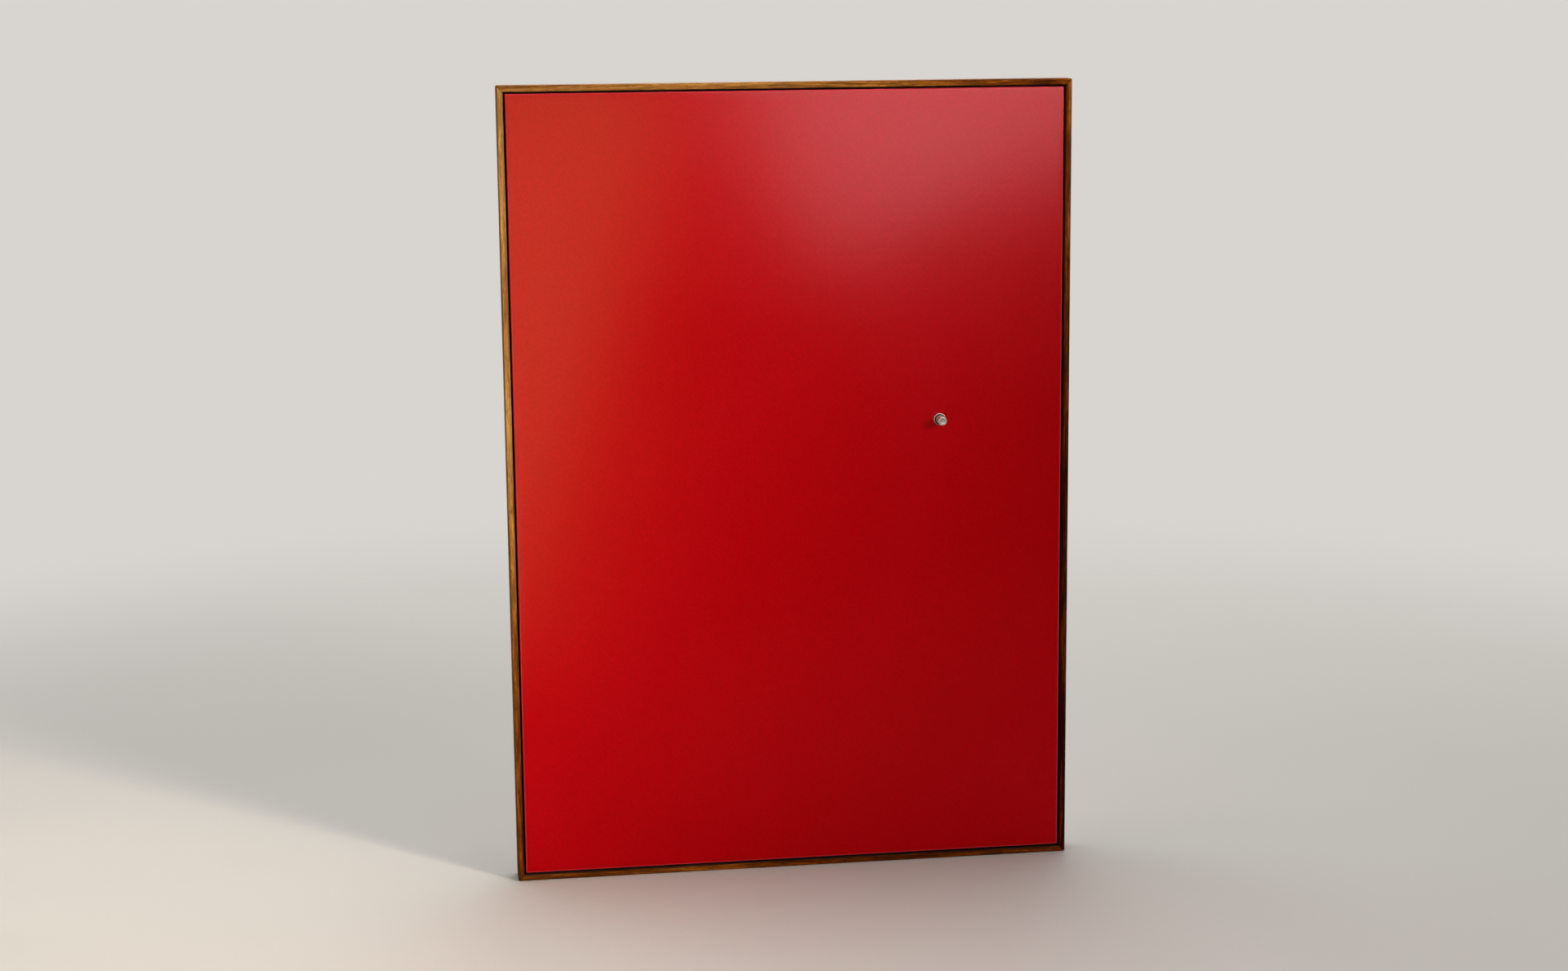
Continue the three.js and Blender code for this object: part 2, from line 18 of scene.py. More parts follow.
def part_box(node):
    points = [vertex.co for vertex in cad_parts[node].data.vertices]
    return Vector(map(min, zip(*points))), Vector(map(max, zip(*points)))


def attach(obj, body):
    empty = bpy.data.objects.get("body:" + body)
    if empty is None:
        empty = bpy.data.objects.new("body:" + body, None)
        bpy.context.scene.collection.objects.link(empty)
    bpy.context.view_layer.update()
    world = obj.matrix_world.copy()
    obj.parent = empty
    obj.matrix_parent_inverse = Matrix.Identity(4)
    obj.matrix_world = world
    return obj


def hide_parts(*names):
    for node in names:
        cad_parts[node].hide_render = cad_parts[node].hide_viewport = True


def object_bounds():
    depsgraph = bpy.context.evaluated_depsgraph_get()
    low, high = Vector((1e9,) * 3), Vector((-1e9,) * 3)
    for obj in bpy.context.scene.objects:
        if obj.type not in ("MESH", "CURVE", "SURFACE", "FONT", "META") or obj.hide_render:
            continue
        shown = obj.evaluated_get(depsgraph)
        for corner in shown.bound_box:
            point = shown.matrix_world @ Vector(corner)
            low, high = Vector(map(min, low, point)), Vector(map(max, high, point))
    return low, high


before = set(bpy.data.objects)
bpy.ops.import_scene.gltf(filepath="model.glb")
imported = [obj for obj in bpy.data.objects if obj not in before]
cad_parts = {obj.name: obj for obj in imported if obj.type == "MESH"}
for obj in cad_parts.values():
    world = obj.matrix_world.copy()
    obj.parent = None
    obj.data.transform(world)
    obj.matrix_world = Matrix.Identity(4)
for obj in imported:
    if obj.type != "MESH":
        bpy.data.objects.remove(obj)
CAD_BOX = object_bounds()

LOG = logging.getLogger("magnetic_board")

MM = 0.001
TAU = 2 * math.pi
QUARTER = math.pi / 2
SHARP_ANGLE = math.radians(32)
MERGE_DISTANCE = 1e-7

Colour = tuple[float, float, float, float]
Pair = tuple[float, float]
Point = tuple[float, float, float]
Profile = Sequence[Pair]
Ring = list[bmesh.types.BMVert]
SocketValue = bpy.types.NodeSocket | float | int | str | Sequence[float]


class Body(Enum):
    """The bodies that pieces ride on."""

    BOARD = "board"
    RING_LEFT = "ring_left"
    RING_RIGHT = "ring_right"
    PIN = "pin"


class Slot(Enum):
    """Names of material slots for the pieces that replace solids; nothing here uses them."""

    WALNUT = "walnut"
    RED_POWDER_COAT = "red_powder_coat"
    ZINC_PLATE = "zinc_plate"
    BLACK_RUBBER = "black_rubber"
    BRIGHT_NICKEL = "bright_nickel"


class Run(Enum):
    """The way that a length of timber runs, with the turn that lays its grain there."""

    LEVEL = 0.0
    UPRIGHT = QUARTER


class Side(Enum):
    """Left and right, as the nodes' names say them."""

    LEFT = "left"
    RIGHT = "right"


class Face(Enum):
    FRONT = 0
    BACK = 1


# Colours


def srgb(code: int) -> Colour:
    """Turn a screen colour into linear light.

    Args:
        code: The colour as 0xRRGGBB.

    Returns:
        Linear red, green, blue and an alpha of one.
    """
    knee, slope, offset, power = 0.04045, 12.92, 0.055, 2.4
    channels = [((code >> shift) & 0xFF) / 255 for shift in (16, 8, 0)]
    linear = [c / slope if c <= knee else ((c + offset) / (1 + offset)) ** power for c in channels]
    return (*linear, 1.0)


def shaded(colour: Colour, tone: float) -> Colour:
    """Scale a colour's light by a tone."""
    return (*(channel * tone for channel in colour[:3]), 1.0)


# Node trees


class Graph:
    """Shorthand for building a node tree."""

    def __init__(self, tree: bpy.types.NodeTree) -> None:
        """Keep the tree that nodes are added to."""
        self.tree = tree

    def put(self, socket: bpy.types.NodeSocket, value: SocketValue) -> None:
        """Link a value to an input, or set it there.

        Args:
            socket: The input.
            value: Another node's socket, or a plain value.
        """
        if isinstance(value, bpy.types.NodeSocket):
            self.tree.links.new(value, socket)
        else:
            socket.default_value = value

    def node(
        self, kind: str, inputs: dict[str | int, SocketValue] | None = None, **settings: object
    ) -> bpy.types.Node:
        """Add a node.

        Args:
            kind: The node's type.
            inputs: Values for its sockets, or sockets to link to them.
            **settings: The node's own properties.

        Returns:
            The new node.
        """
        made = self.tree.nodes.new(kind)
        for name, value in settings.items():
            setattr(made, name, value)
        for key, value in (inputs or {}).items():
            self.put(made.inputs[key], value)
        return made

    def math(self, operation: str, *values: SocketValue) -> bpy.types.NodeSocket:
        """Add a Math node and give its result."""
        return self.node("ShaderNodeMath", dict(enumerate(values)), operation=operation).outputs[0]

    def vector_math(self, operation: str, *values: SocketValue) -> bpy.types.Node:
        """Add a Vector Math node, whose result is Vector or Value."""
        return self.node("ShaderNodeVectorMath", dict(enumerate(values)), operation=operation)

    def combine(self, x: SocketValue, y: SocketValue, z: SocketValue) -> bpy.types.NodeSocket:
        """Join three values into a vector."""
        return self.node("ShaderNodeCombineXYZ", {"X": x, "Y": y, "Z": z}).outputs[0]

    def rotation(self, x: SocketValue, y: SocketValue, z: SocketValue) -> bpy.types.NodeSocket:
        """Turn three angles into a rotation."""
        return self.node("FunctionNodeEulerToRotation", {"Euler": self.combine(x, y, z)}).outputs[0]

    def attribute(self, name: str) -> bpy.types.NodeSocket:
        """Read a piece's own attribute, which is zero where the piece has none."""
        return self.node("ShaderNodeAttribute", attribute_name=name).outputs["Fac"]

    def span(
        self, value: SocketValue, low: float, high: float, to_low: float = 0.0, to_high: float = 1.0
    ) -> bpy.types.NodeSocket:
        """Map a range of a value smoothly to another range.

        Args:
            value: What is mapped.
            low: The value that gives to_low.
            high: The value that gives to_high.
            to_low: The result's start.
            to_high: The result's end.

        Returns:
            The result's socket.
        """
        inputs = {"Value": value, "From Min": low, "From Max": high, "To Min": to_low, "To Max": to_high}
        made = self.node("ShaderNodeMapRange", inputs, interpolation_type="SMOOTHSTEP")
        return made.outputs["Result"]

    def swing(self, value: SocketValue, ends: Pair) -> bpy.types.NodeSocket:
        """Map zero and one smoothly to two ends."""
        return self.span(value, 0.0, 1.0, *ends)

    def blend(
        self, factor: SocketValue, first: SocketValue, second: SocketValue
    ) -> bpy.types.NodeSocket:
        """Mix two colours.

        Args:
            factor: How much of the second shows.
            first: The lower colour.
            second: The upper colour.

        Returns:
            The mixed colour's socket.
        """
        made = self.node("ShaderNodeMix", data_type="RGBA")
        sockets = [socket for socket in made.inputs if socket.enabled]
        for socket, value in zip(sockets, (factor, first, second), strict=True):
            self.put(socket, value)
        return next(socket for socket in made.outputs if socket.enabled)

    def noise(
        self, vector: SocketValue, scale: SocketValue = 1.0, detail: float = 1.0, distortion: float = 0.0
    ) -> bpy.types.NodeSocket:
        """Add a noise texture.

        Args:
            vector: Where it is read.
            scale: Cells in one unit.
            detail: Octaves.
            distortion: How far it is warped.

        Returns:
            The value's socket.
        """
        inputs = {"Vector": vector, "Scale": scale, "Detail": detail, "Distortion": distortion}
        return self.node("ShaderNodeTexNoise", inputs).outputs["Fac"]

    def group(self, tree: bpy.types.NodeTree, inputs: dict[str, SocketValue]) -> bpy.types.NodeOutputs:
        """Place a shared shader group and give its outputs."""
        return self.node("ShaderNodeGroup", inputs, node_tree=tree).outputs


def new_tree(
    name: str, kind: str, inputs: dict[str, str], outputs: dict[str, str]
) -> tuple[Graph, bpy.types.Node, bpy.types.Node]:
    """Start a node group with named sockets.

    Args:
        name: The group's name.
        kind: The tree's type.
        inputs: The inputs' socket types by name.
        outputs: The outputs' socket types by name.

    Returns:
        The graph, its input node and its output node.
    """
    tree = bpy.data.node_groups.new(name, kind)
    for way, sockets in (("INPUT", inputs), ("OUTPUT", outputs)):
        for socket_name, socket_type in sockets.items():
            tree.interface.new_socket(socket_name, in_out=way, socket_type=socket_type)
    graph = Graph(tree)
    return graph, graph.node("NodeGroupInput"), graph.node("NodeGroupOutput")


FLOAT = "NodeSocketFloat"
INTEGER = "NodeSocketInt"
VECTOR = "NodeSocketVector"
GEOMETRY = "NodeSocketGeometry"
MATERIAL = "NodeSocketMaterial"

# Shared shader groups

GRAIN_LAYERS = ("Figure", "Fibre", "Pore")
GRAIN_DETAIL = 3.0
GRAIN_WARP = 0.4
FIGURE_SPAN = (0.3, 0.7)
FIBRE_SPAN = (0.25, 0.75)
PORE_SPAN = (0.0, 0.06)
BLOTCH_DETAIL = 3.0
MARK_SPAN = (0.1, 0.9)
SCRATCH_TURN = (0.5, 0.9, 0.3)
SCRATCH_FINENESS = 60.0
SCRATCH_SPAN = (0.68, 0.74)


@cache
def long_grain() -> bpy.types.NodeTree:
    """Build the shared timber group, whose grain runs along X.

    Returns:
        A tree that puts out the figure, the fibres and the pores.
    """
    inputs = {"Vector": VECTOR, "Pore Cut": FLOAT}
    for layer in GRAIN_LAYERS:
        inputs |= {f"{layer} Length": FLOAT, f"{layer} Width": FLOAT}
    outputs = {"Figure": FLOAT, "Fibre": FLOAT, "Pores": FLOAT}
    graph, entry, leave = new_tree("long_grain", "ShaderNodeTree", inputs, outputs)
    read = {}
    for layer in GRAIN_LAYERS:
        along = graph.math("DIVIDE", 1.0, entry.outputs[f"{layer} Length"])
        across = graph.math("DIVIDE", 1.0, entry.outputs[f"{layer} Width"])
        scale = graph.combine(along, across, across)
        where = graph.vector_math("MULTIPLY", entry.outputs["Vector"], scale).outputs["Vector"]
        read[layer] = graph.noise(where, detail=GRAIN_DETAIL, distortion=GRAIN_WARP)
    cut = graph.math("SUBTRACT", read["Pore"], entry.outputs["Pore Cut"])
    graph.put(leave.inputs["Figure"], graph.span(read["Figure"], *FIGURE_SPAN))
    graph.put(leave.inputs["Fibre"], graph.span(read["Fibre"], *FIBRE_SPAN))
    graph.put(leave.inputs["Pores"], graph.span(cut, *PORE_SPAN))
    return graph.tree


@cache
def surface_marks() -> bpy.types.NodeTree:
    """Build the shared group of marks that any handled surface shows.

    Returns:
        A tree that puts out broad blotches, fine specks and hair scratches.
    """
    inputs = {"Vector": VECTOR, "Blotch Size": FLOAT, "Speck Size": FLOAT, "Scratch Length": FLOAT}
    outputs = {"Blotches": FLOAT, "Specks": FLOAT, "Scratches": FLOAT}
    graph, entry, leave = new_tree("surface_marks", "ShaderNodeTree", inputs, outputs)
    where = entry.outputs["Vector"]
    blotches = graph.noise(where, graph.math("DIVIDE", 1.0, entry.outputs["Blotch Size"]), BLOTCH_DETAIL)
    specks = graph.noise(where, graph.math("DIVIDE", 1.0, entry.outputs["Speck Size"]))
    turned = graph.node("ShaderNodeMapping", {"Vector": where, "Rotation": SCRATCH_TURN}).outputs[0]
    along = graph.math("DIVIDE", 1.0, entry.outputs["Scratch Length"])
    across = graph.math("MULTIPLY", along, SCRATCH_FINENESS)
    stretched = graph.vector_math("MULTIPLY", turned, graph.combine(along, across, across))
    scratches = graph.noise(stretched.outputs["Vector"])
    graph.put(leave.inputs["Blotches"], graph.span(blotches, *MARK_SPAN))
    graph.put(leave.inputs["Specks"], graph.span(specks, *MARK_SPAN))
    graph.put(leave.inputs["Scratches"], graph.span(scratches, *SCRATCH_SPAN))
    return graph.tree


@dataclass(frozen=True)
class Marks:
    """The sizes of a surface's blotches, specks and hair scratches."""

    blotch: float
    speck: float
    scratch: float

    def place(self, graph: Graph, where: bpy.types.NodeSocket) -> bpy.types.NodeOutputs:
        """Place the shared marks in a material, with these sizes."""
        sizes = {"Blotch Size": self.blotch, "Speck Size": self.speck, "Scratch Length": self.scratch}
        return graph.group(surface_marks(), {"Vector": where, **sizes})


# Finishes


class Finish:
    """A procedural material, built once."""

    name: str

    @cache
    def material(self) -> bpy.types.Material:
        """Make the material on the first call.

        Returns:
            The one material of this finish.
        """
        made = bpy.data.materials.new(self.name)
        made.use_nodes = True
        made.node_tree.nodes.clear()
        graph = Graph(made.node_tree)
        shader = graph.node("ShaderNodeBsdfPrincipled")
        graph.node("ShaderNodeOutputMaterial", {"Surface": shader.outputs["BSDF"]})
        self.paint(graph, shader)
        return made

    def paint(self, graph: Graph, shader: bpy.types.Node) -> None:
        """Link this finish's nodes to the shader.

        Args:
            graph: The material's graph.
            shader: Its Principled BSDF.
        """
        raise NotImplementedError

    @staticmethod
    def places(graph: Graph) -> bpy.types.NodeSocket:
        """Give the object coordinates, which are metres in the frame."""
        return graph.node("ShaderNodeTexCoord").outputs["Object"]

    @staticmethod
    def feed(graph: Graph, shader: bpy.types.Node, **inputs: SocketValue) -> None:
        """Link or set the shader's inputs, named with _ for a space."""
        for name, value in inputs.items():
            graph.put(shader.inputs[name.replace("_", " ")], value)

    @staticmethod
    def relief(graph: Graph, height: bpy.types.NodeSocket, depth: float) -> bpy.types.NodeSocket:
        """Make a bumped normal from a height of zero to one and its depth in metres."""
        return graph.node("ShaderNodeBump", {"Height": height, "Distance": depth}).outputs["Normal"]


@dataclass(frozen=True)
class PowderCoat(Finish):
    """Satin paint baked on steel, with the fine peel of sprayed powder."""

    name: str = "satin_red_coat"
    light: Colour = srgb(0xC0010C)
    deep: Colour = srgb(0xB9000A)
    marks: Marks = Marks(220 * MM, 2.2 * MM, 220 * MM)
    speckle: float = 0.36
    speckle_tone: float = 0.6
    peel_depth: float = 0.014 * MM
    roughness: Pair = (0.14, 0.17)
    specular: float = 0.25
    # A painted highlight: a lighter, pinker red laid on the bends, and how strongly it shows.
    thin_coat: Colour = srgb(0xD84A55)
    thinning: float = 0.8

    def paint(self, graph: Graph, shader: bpy.types.Node) -> None:
        """Lay the red, its faint speckle, its peel and a painted highlight, lighter and pinker, on the
        bends.

        Args:
            graph: The material's graph.
            shader: Its Principled BSDF.
        """
        marks = self.marks.place(graph, self.places(graph))
        colour = graph.blend(marks["Blotches"], self.deep, self.light)
        dimmed = graph.swing(marks["Specks"], (self.speckle, 0.0))
        colour = graph.blend(dimmed, colour, shaded(self.deep, self.speckle_tone))
        # Painted highlight on the bends, where the attribute bend is near one.
        highlight_share = graph.math("MULTIPLY", graph.attribute("bend"), self.thinning)
        self.feed(
            graph,
            shader,
            Base_Color=graph.blend(highlight_share, colour, self.thin_coat),
            Roughness=graph.swing(marks["Blotches"], self.roughness),
            Normal=self.relief(graph, marks["Specks"], self.peel_depth),
            Specular_IOR_Level=self.specular,
        )


@dataclass(frozen=True)
class WoodTones:
    """The colours of one kind of wood."""

    light: Colour
    dark: Colour
    pore: Colour


WALNUT_TONES = WoodTones(light=srgb(0xCA9146), dark=srgb(0x985E24), pore=srgb(0x45200A))
PINE_TONES = WoodTones(light=srgb(0xDDBB86), dark=srgb(0xC39658), pore=srgb(0xA9743C))


@dataclass(frozen=True)
class Timber(Finish):
    """Wood with its grain along one member, whose front darkens from end to end with painted shade."""

    name: str
    run: Run
    tones: WoodTones
    shift: float = 0.0
    figure: Pair = (130 * MM, 5 * MM)
    fibre: Pair = (30 * MM, 0.9 * MM)
    fibre_swing: Pair = (0.58, 1.34)
    pores: Pair = (8 * MM, 0.3 * MM)
    pore_cut: float = 0.55
    pore_strength: float = 0.72
    pore_depth: float = 0.08 * MM
    roughness: Pair = (0.42, 0.68)
    specular: float = 0.06
    gloss_tint: Colour = (1.0, 0.7, 0.42, 1.0)
    # Painted shade on the eased edges, and the dark line of the mitre joints, in the pores' colour.
    arris_grime: float = 0.7
    # ends and depth paint shade along the front where the light falls off; back_depth is the even tone at
    # the back, and turn_back is where front meets back.
    ends: Pair = (0.0, 1.0)
    depth: Pair = (1.0, 1.0)
    back_depth: float = 1.0
    turn_back: Pair = (12 * MM, -12 * MM)

    def paint(self, graph: Graph, shader: bpy.types.Node) -> None:
        """Lay figure, fibres, open pores, painted shade on the eased edges with the dark mitre joints, and
        painted shade that deepens along the front.

        Args:
            graph: The material's graph.
            shader: Its Principled BSDF.
        """
        laid = {"Rotation": (0.0, self.run.value, 0.0), "Location": (self.shift,) * 3}
        where = graph.node("ShaderNodeMapping", {"Vector": self.places(graph), **laid}).outputs[0]
        sizes = {"Vector": where, "Pore Cut": self.pore_cut}
        for layer, (length, width) in zip(GRAIN_LAYERS, (self.figure, self.fibre, self.pores), strict=True):
            sizes |= {f"{layer} Length": length, f"{layer} Width": width}
        grain = graph.group(long_grain(), sizes)
        colour = graph.blend(grain["Figure"], self.tones.dark, self.tones.light)
        streaked = {0: colour, "Scale": graph.swing(grain["Fibre"], self.fibre_swing)}
        colour = graph.node("ShaderNodeVectorMath", streaked, operation="SCALE").outputs["Vector"]
        open_pores = graph.math("MULTIPLY", grain["Pores"], self.pore_strength)
        colour = graph.blend(open_pores, colour, self.tones.pore)
        # Painted shade on the eased edges, and the dark mitre joints.
        edge_shade_and_joints = graph.math("MULTIPLY", graph.attribute("arris"), self.arris_grime)
        colour = graph.blend(edge_shade_and_joints, colour, self.tones.pore)
        # Painted shade: the tone deepens along the front where the light falls off.
        falloff_inputs = {"Color": colour, "Gamma": self.deepening(graph)}
        closed = graph.math("SUBTRACT", 1.0, open_pores)
        self.feed(
            graph,
            shader,
            Base_Color=graph.node("ShaderNodeGamma", falloff_inputs).outputs[0],
            Roughness=graph.swing(grain["Fibre"], self.roughness),
            Normal=self.relief(graph, closed, self.pore_depth),
            Specular_IOR_Level=self.specular,
            Specular_Tint=self.gloss_tint,
        )

    def deepening(self, graph: Graph) -> bpy.types.NodeSocket:
        """Deepen the colour along the front as painted shade where the light falls off, and keep it even at
        the back.

        Args:
            graph: The material's graph.

        Returns:
            The gamma's socket.
        """
        split = graph.node("ShaderNodeSeparateXYZ", {0: self.places(graph)}).outputs
        along = split["X" if self.run is Run.LEVEL else "Z"]
        more = graph.math("SUBTRACT", graph.span(along, *self.ends, *self.depth), self.back_depth)
        front = graph.span(split["Y"], *self.turn_back)
        return graph.math("MULTIPLY_ADD", front, more, self.back_depth)


@dataclass(frozen=True)
class DarkRebate(Finish):
    """Near-black colour inside the frame's rebate."""

    name: str = "black_stain"
    light: Colour = srgb(0x100B08)
    dark: Colour = srgb(0x060404)
    marks: Marks = Marks(40 * MM, 1.2 * MM, 30 * MM)
    roughness: Pair = (0.7, 0.85)

    def paint(self, graph: Graph, shader: bpy.types.Node) -> None:
        """Lay the near-black colour with the wood's unevenness.

        Args:
            graph: The material's graph.
            shader: Its Principled BSDF.
        """
        marks = self.marks.place(graph, self.places(graph))
        colour = graph.blend(marks["Specks"], self.dark, self.light)
        self.feed(graph, shader, Base_Color=colour, Roughness=graph.swing(marks["Blotches"], self.roughness))


@dataclass(frozen=True)
class Fibreboard(Finish):
    """Pressed wood fibre, sanded."""

    name: str = "felted_fibre"
    light: Colour = srgb(0xB4946C)
    dark: Colour = srgb(0x94744E)
    marks: Marks = Marks(90 * MM, 1.6 * MM, 60 * MM)
    blotching: float = 0.3
    sanding: float = 0.25
    fibre_depth: float = 0.05 * MM
    roughness: Pair = (0.82, 0.95)

    def paint(self, graph: Graph, shader: bpy.types.Node) -> None:
        """Lay the felted fibres and the sander's faint lines.

        Args:
            graph: The material's graph.
            shader: Its Principled BSDF.
        """
        marks = self.marks.place(graph, self.places(graph))
        colour = graph.blend(marks["Specks"], self.dark, self.light)
        colour = graph.blend(graph.math("MULTIPLY", marks["Blotches"], self.blotching), colour, self.dark)
        colour = graph.blend(graph.math("MULTIPLY", marks["Scratches"], self.sanding), colour, self.light)
        self.feed(
            graph,
            shader,
            Base_Color=colour,
            Roughness=graph.swing(marks["Specks"], self.roughness),
            Normal=self.relief(graph, marks["Specks"], self.fibre_depth),
        )


@dataclass(frozen=True)
class Metal(Finish):
    """Plated metal with blotches in the plating, hair scratches and painted shade in its grooves."""

    name: str
    light: Colour
    dark: Colour
    roughness: Pair
    metallic: float = 1.0
    marks: Marks = Marks(5 * MM, 0.4 * MM, 12 * MM)
    scratch_roughness: float = 0.12
    lathe_axis: Pair | None = None
    lathe_pitch: float = 0.2 * MM
    lathe_depth: float = 0.002 * MM
    # The colour of the painted shade in grooves.
    grime: Colour = srgb(0x18120E)

    def paint(self, graph: Graph, shader: bpy.types.Node) -> None:
        """Lay the plating, its scratches, the painted shade in its grooves and any marks of the lathe.

        Args:
            graph: The material's graph.
            shader: Its Principled BSDF.
        """
        where = self.places(graph)
        marks = self.marks.place(graph, where)
        colour = graph.blend(marks["Blotches"], self.dark, self.light)
        scratched = graph.math("MULTIPLY", marks["Scratches"], self.scratch_roughness)
        self.feed(
            graph,
            shader,
            # Painted shade in a groove, by the attribute grime.
            Base_Color=graph.blend(graph.attribute("grime"), colour, self.grime),
            Roughness=graph.math("ADD", graph.swing(marks["Specks"], self.roughness), scratched),
            Metallic=self.metallic,
        )
        if self.lathe_axis is not None:
            self.feed(graph, shader, Normal=self.lathe_marks(graph, where))

    def lathe_marks(self, graph: Graph, where: bpy.types.NodeSocket) -> bpy.types.NodeSocket:
        """Make rings about the axis that the piece was turned on.

        Args:
            graph: The material's graph.
            where: Object coordinates.

        Returns:
            The normal's socket.
        """
        x, z = self.lathe_axis
        centred = graph.vector_math("SUBTRACT", where, (x, 0.0, z)).outputs["Vector"]
        flat = graph.vector_math("MULTIPLY", centred, (1.0, 0.0, 1.0)).outputs["Vector"]
        radius = graph.vector_math("LENGTH", flat).outputs["Value"]
        turns = graph.math("SINE", graph.math("MULTIPLY", radius, TAU / self.lathe_pitch))
        return self.relief(graph, graph.span(turns, -1.0, 1.0), self.lathe_depth)


ZINC_PLATE = Metal("bright_zinc", light=srgb(0xC9CDD3), dark=srgb(0xB3B4B0), roughness=(0.24, 0.42))


@dataclass(frozen=True)
class Rubber(Finish):
    """Moulded rubber with a little dust on it."""

    name: str = "moulded_rubber"
    light: Colour = srgb(0x2A2927)
    dark: Colour = srgb(0x171716)
    marks: Marks = Marks(6 * MM, 0.5 * MM, 9 * MM)
    grain_depth: float = 0.02 * MM
    roughness: Pair = (0.68, 0.86)

    def paint(self, graph: Graph, shader: bpy.types.Node) -> None:
        """Lay the moulded grain and the dust.

        Args:
            graph: The material's graph.
            shader: Its Principled BSDF.
        """
        marks = self.marks.place(graph, self.places(graph))
        self.feed(
            graph,
            shader,
            Base_Color=graph.blend(marks["Blotches"], self.dark, self.light),
            Roughness=graph.swing(marks["Specks"], self.roughness),
            Normal=self.relief(graph, marks["Specks"], self.grain_depth),
        )


@dataclass(frozen=True)
class PaleFloor(Finish):
    """Plain pale studio floor."""

    name: str = "pale_floor"
    light: Colour = srgb(0xDEDBD5)
    dark: Colour = srgb(0xD9D6CF)
    marks: Marks = Marks(900 * MM, 2 * MM, 500 * MM)
    fade: Pair = (0.7, 2.2)
    roughness: float = 0.9
    specular: float = 0.1

    def paint(self, graph: Graph, shader: bpy.types.Node) -> None:
        """Lay an even, matt tone that fades into the backdrop.

        Args:
            graph: The material's graph.
            shader: Its Principled BSDF.
        """
        where = self.places(graph)
        marks = self.marks.place(graph, where)
        away = graph.vector_math("LENGTH", where).outputs["Value"]
        self.feed(
            graph,
            shader,
            Base_Color=graph.blend(marks["Blotches"], self.dark, self.light),
            Alpha=graph.span(away, *self.fade, 1.0, 0.0),
            Roughness=self.roughness,
            Specular_IOR_Level=self.specular,
        )


# Meshes


def new_object(name: str, mesh: bpy.types.Mesh) -> bpy.types.Object:
    """Put a mesh into the scene at the origin.

    Args:
        name: The object's name.
        mesh: Its mesh.

    Returns:
        The object.
    """
    made = bpy.data.objects.new(name, mesh)
    bpy.context.scene.collection.objects.link(made)
    return made


def solid(name: str, shape: bmesh.types.BMesh, *finishes: bpy.types.Material) -> bpy.types.Object:
    """Make an object of a closed shape, whose faces point outwards.

    Args:
        name: The object's name.
        shape: The shape, which is freed.
        *finishes: Its materials, in order.

    Returns:
        The object.
    """
    bmesh.ops.recalc_face_normals(shape, faces=shape.faces)
    mesh = bpy.data.meshes.new(name)
    shape.to_mesh(mesh)
    shape.free()
    for finish in finishes:
        mesh.materials.append(finish)
    return new_object(name, mesh)


def settle(piece: bpy.types.Object) -> None:
    """Turn a piece and its modifiers into a plain mesh.

    Args:
        piece: The object that carries the modifiers.
    """
    bpy.context.view_layer.update()
    graph = bpy.context.evaluated_depsgraph_get()
    made = bpy.data.meshes.new_from_object(piece.evaluated_get(graph))
    piece.modifiers.clear()
    rough = piece.data
    piece.data = made
    bpy.data.meshes.remove(rough)
    made.name = piece.name


def carve(piece: bpy.types.Object, tools: bmesh.types.BMesh) -> None:
    """Cut tools out of a piece.

    Args:
        piece: The solid that is cut.
        tools: Closed bodies that don't touch each other.
    """
    cutter = solid(f"{piece.name}_tools", tools)
    cut = piece.modifiers.new("cut", "BOOLEAN")
    cut.operation = "DIFFERENCE"
    cut.solver = "EXACT"
    cut.object = cutter
    settle(piece)
    bpy.data.meshes.remove(cutter.data)


def smooth(piece: bpy.types.Object) -> None:
    """Shade round faces smoothly and keep flat ones flat.

    Args:
        piece: A finished solid.
    """
    piece.data.shade_smooth()
    piece.data.set_sharp_from_angle(angle=SHARP_ANGLE)
    weighted = piece.modifiers.new("flats", "WEIGHTED_NORMAL")
    weighted.keep_sharp = True
    settle(piece)


def keep_values(mesh: bpy.types.Mesh, name: str, values: Sequence[float]) -> None:
    """Keep a value for each point of a mesh as an attribute."""
    mesh.attributes.new(name, "FLOAT", "POINT").data.foreach_set("value", values)


def dress(piece: bpy.types.Object, body: Body, nodes: Iterable[str]) -> None:
    """Hand a finished piece to the frame in place of its solids.

    Args:
        piece: The finished object.
        body: The body that it rides on.
        nodes: The nodes that it stands for.
    """
    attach(piece, body.value)
    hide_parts(*nodes)
    LOG.info("%s: %d faces on %s", piece.name, len(piece.data.polygons), body.value)


def cover(node: str, material: bpy.types.Material) -> None:
    """Give a node that stays its finish.

    Args:
        node: The node's name.
        material: The finish.
    """
    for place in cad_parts[node].material_slots:
        place.material = material
    LOG.info("%s keeps its solid in %s", node, material.name)


def nodes_named(start: str) -> list[str]:
    """Give the nodes whose names start alike, in order."""
    return sorted(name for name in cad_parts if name.startswith(start))


def middle_of(node: str, face: Face | None = None) -> Vector:
    """Give the middle of a node's box, or of one face across Y.

    Args:
        node: The node's name.
        face: The face that the point lies on.

    Returns:
        The point.
    """
    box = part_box(node)
    middle = (box[0] + box[1]) / 2
    if face is not None:
        middle.y = box[face.value].y
    return middle


def arc(centre: Pair, radius: float, start: float, end: float, steps: int) -> list[Pair]:
    """Sample an arc.

    Args:
        centre: The arc's centre.
        radius: Its radius.
        start: The first angle.
        end: The last angle.
        steps: The number of chords.

    Returns:
        Its points, both ends included.
    """
    angles = [start + (end - start) * step / steps for step in range(steps + 1)]
    return [(centre[0] + radius * math.cos(a), centre[1] + radius * math.sin(a)) for a in angles]


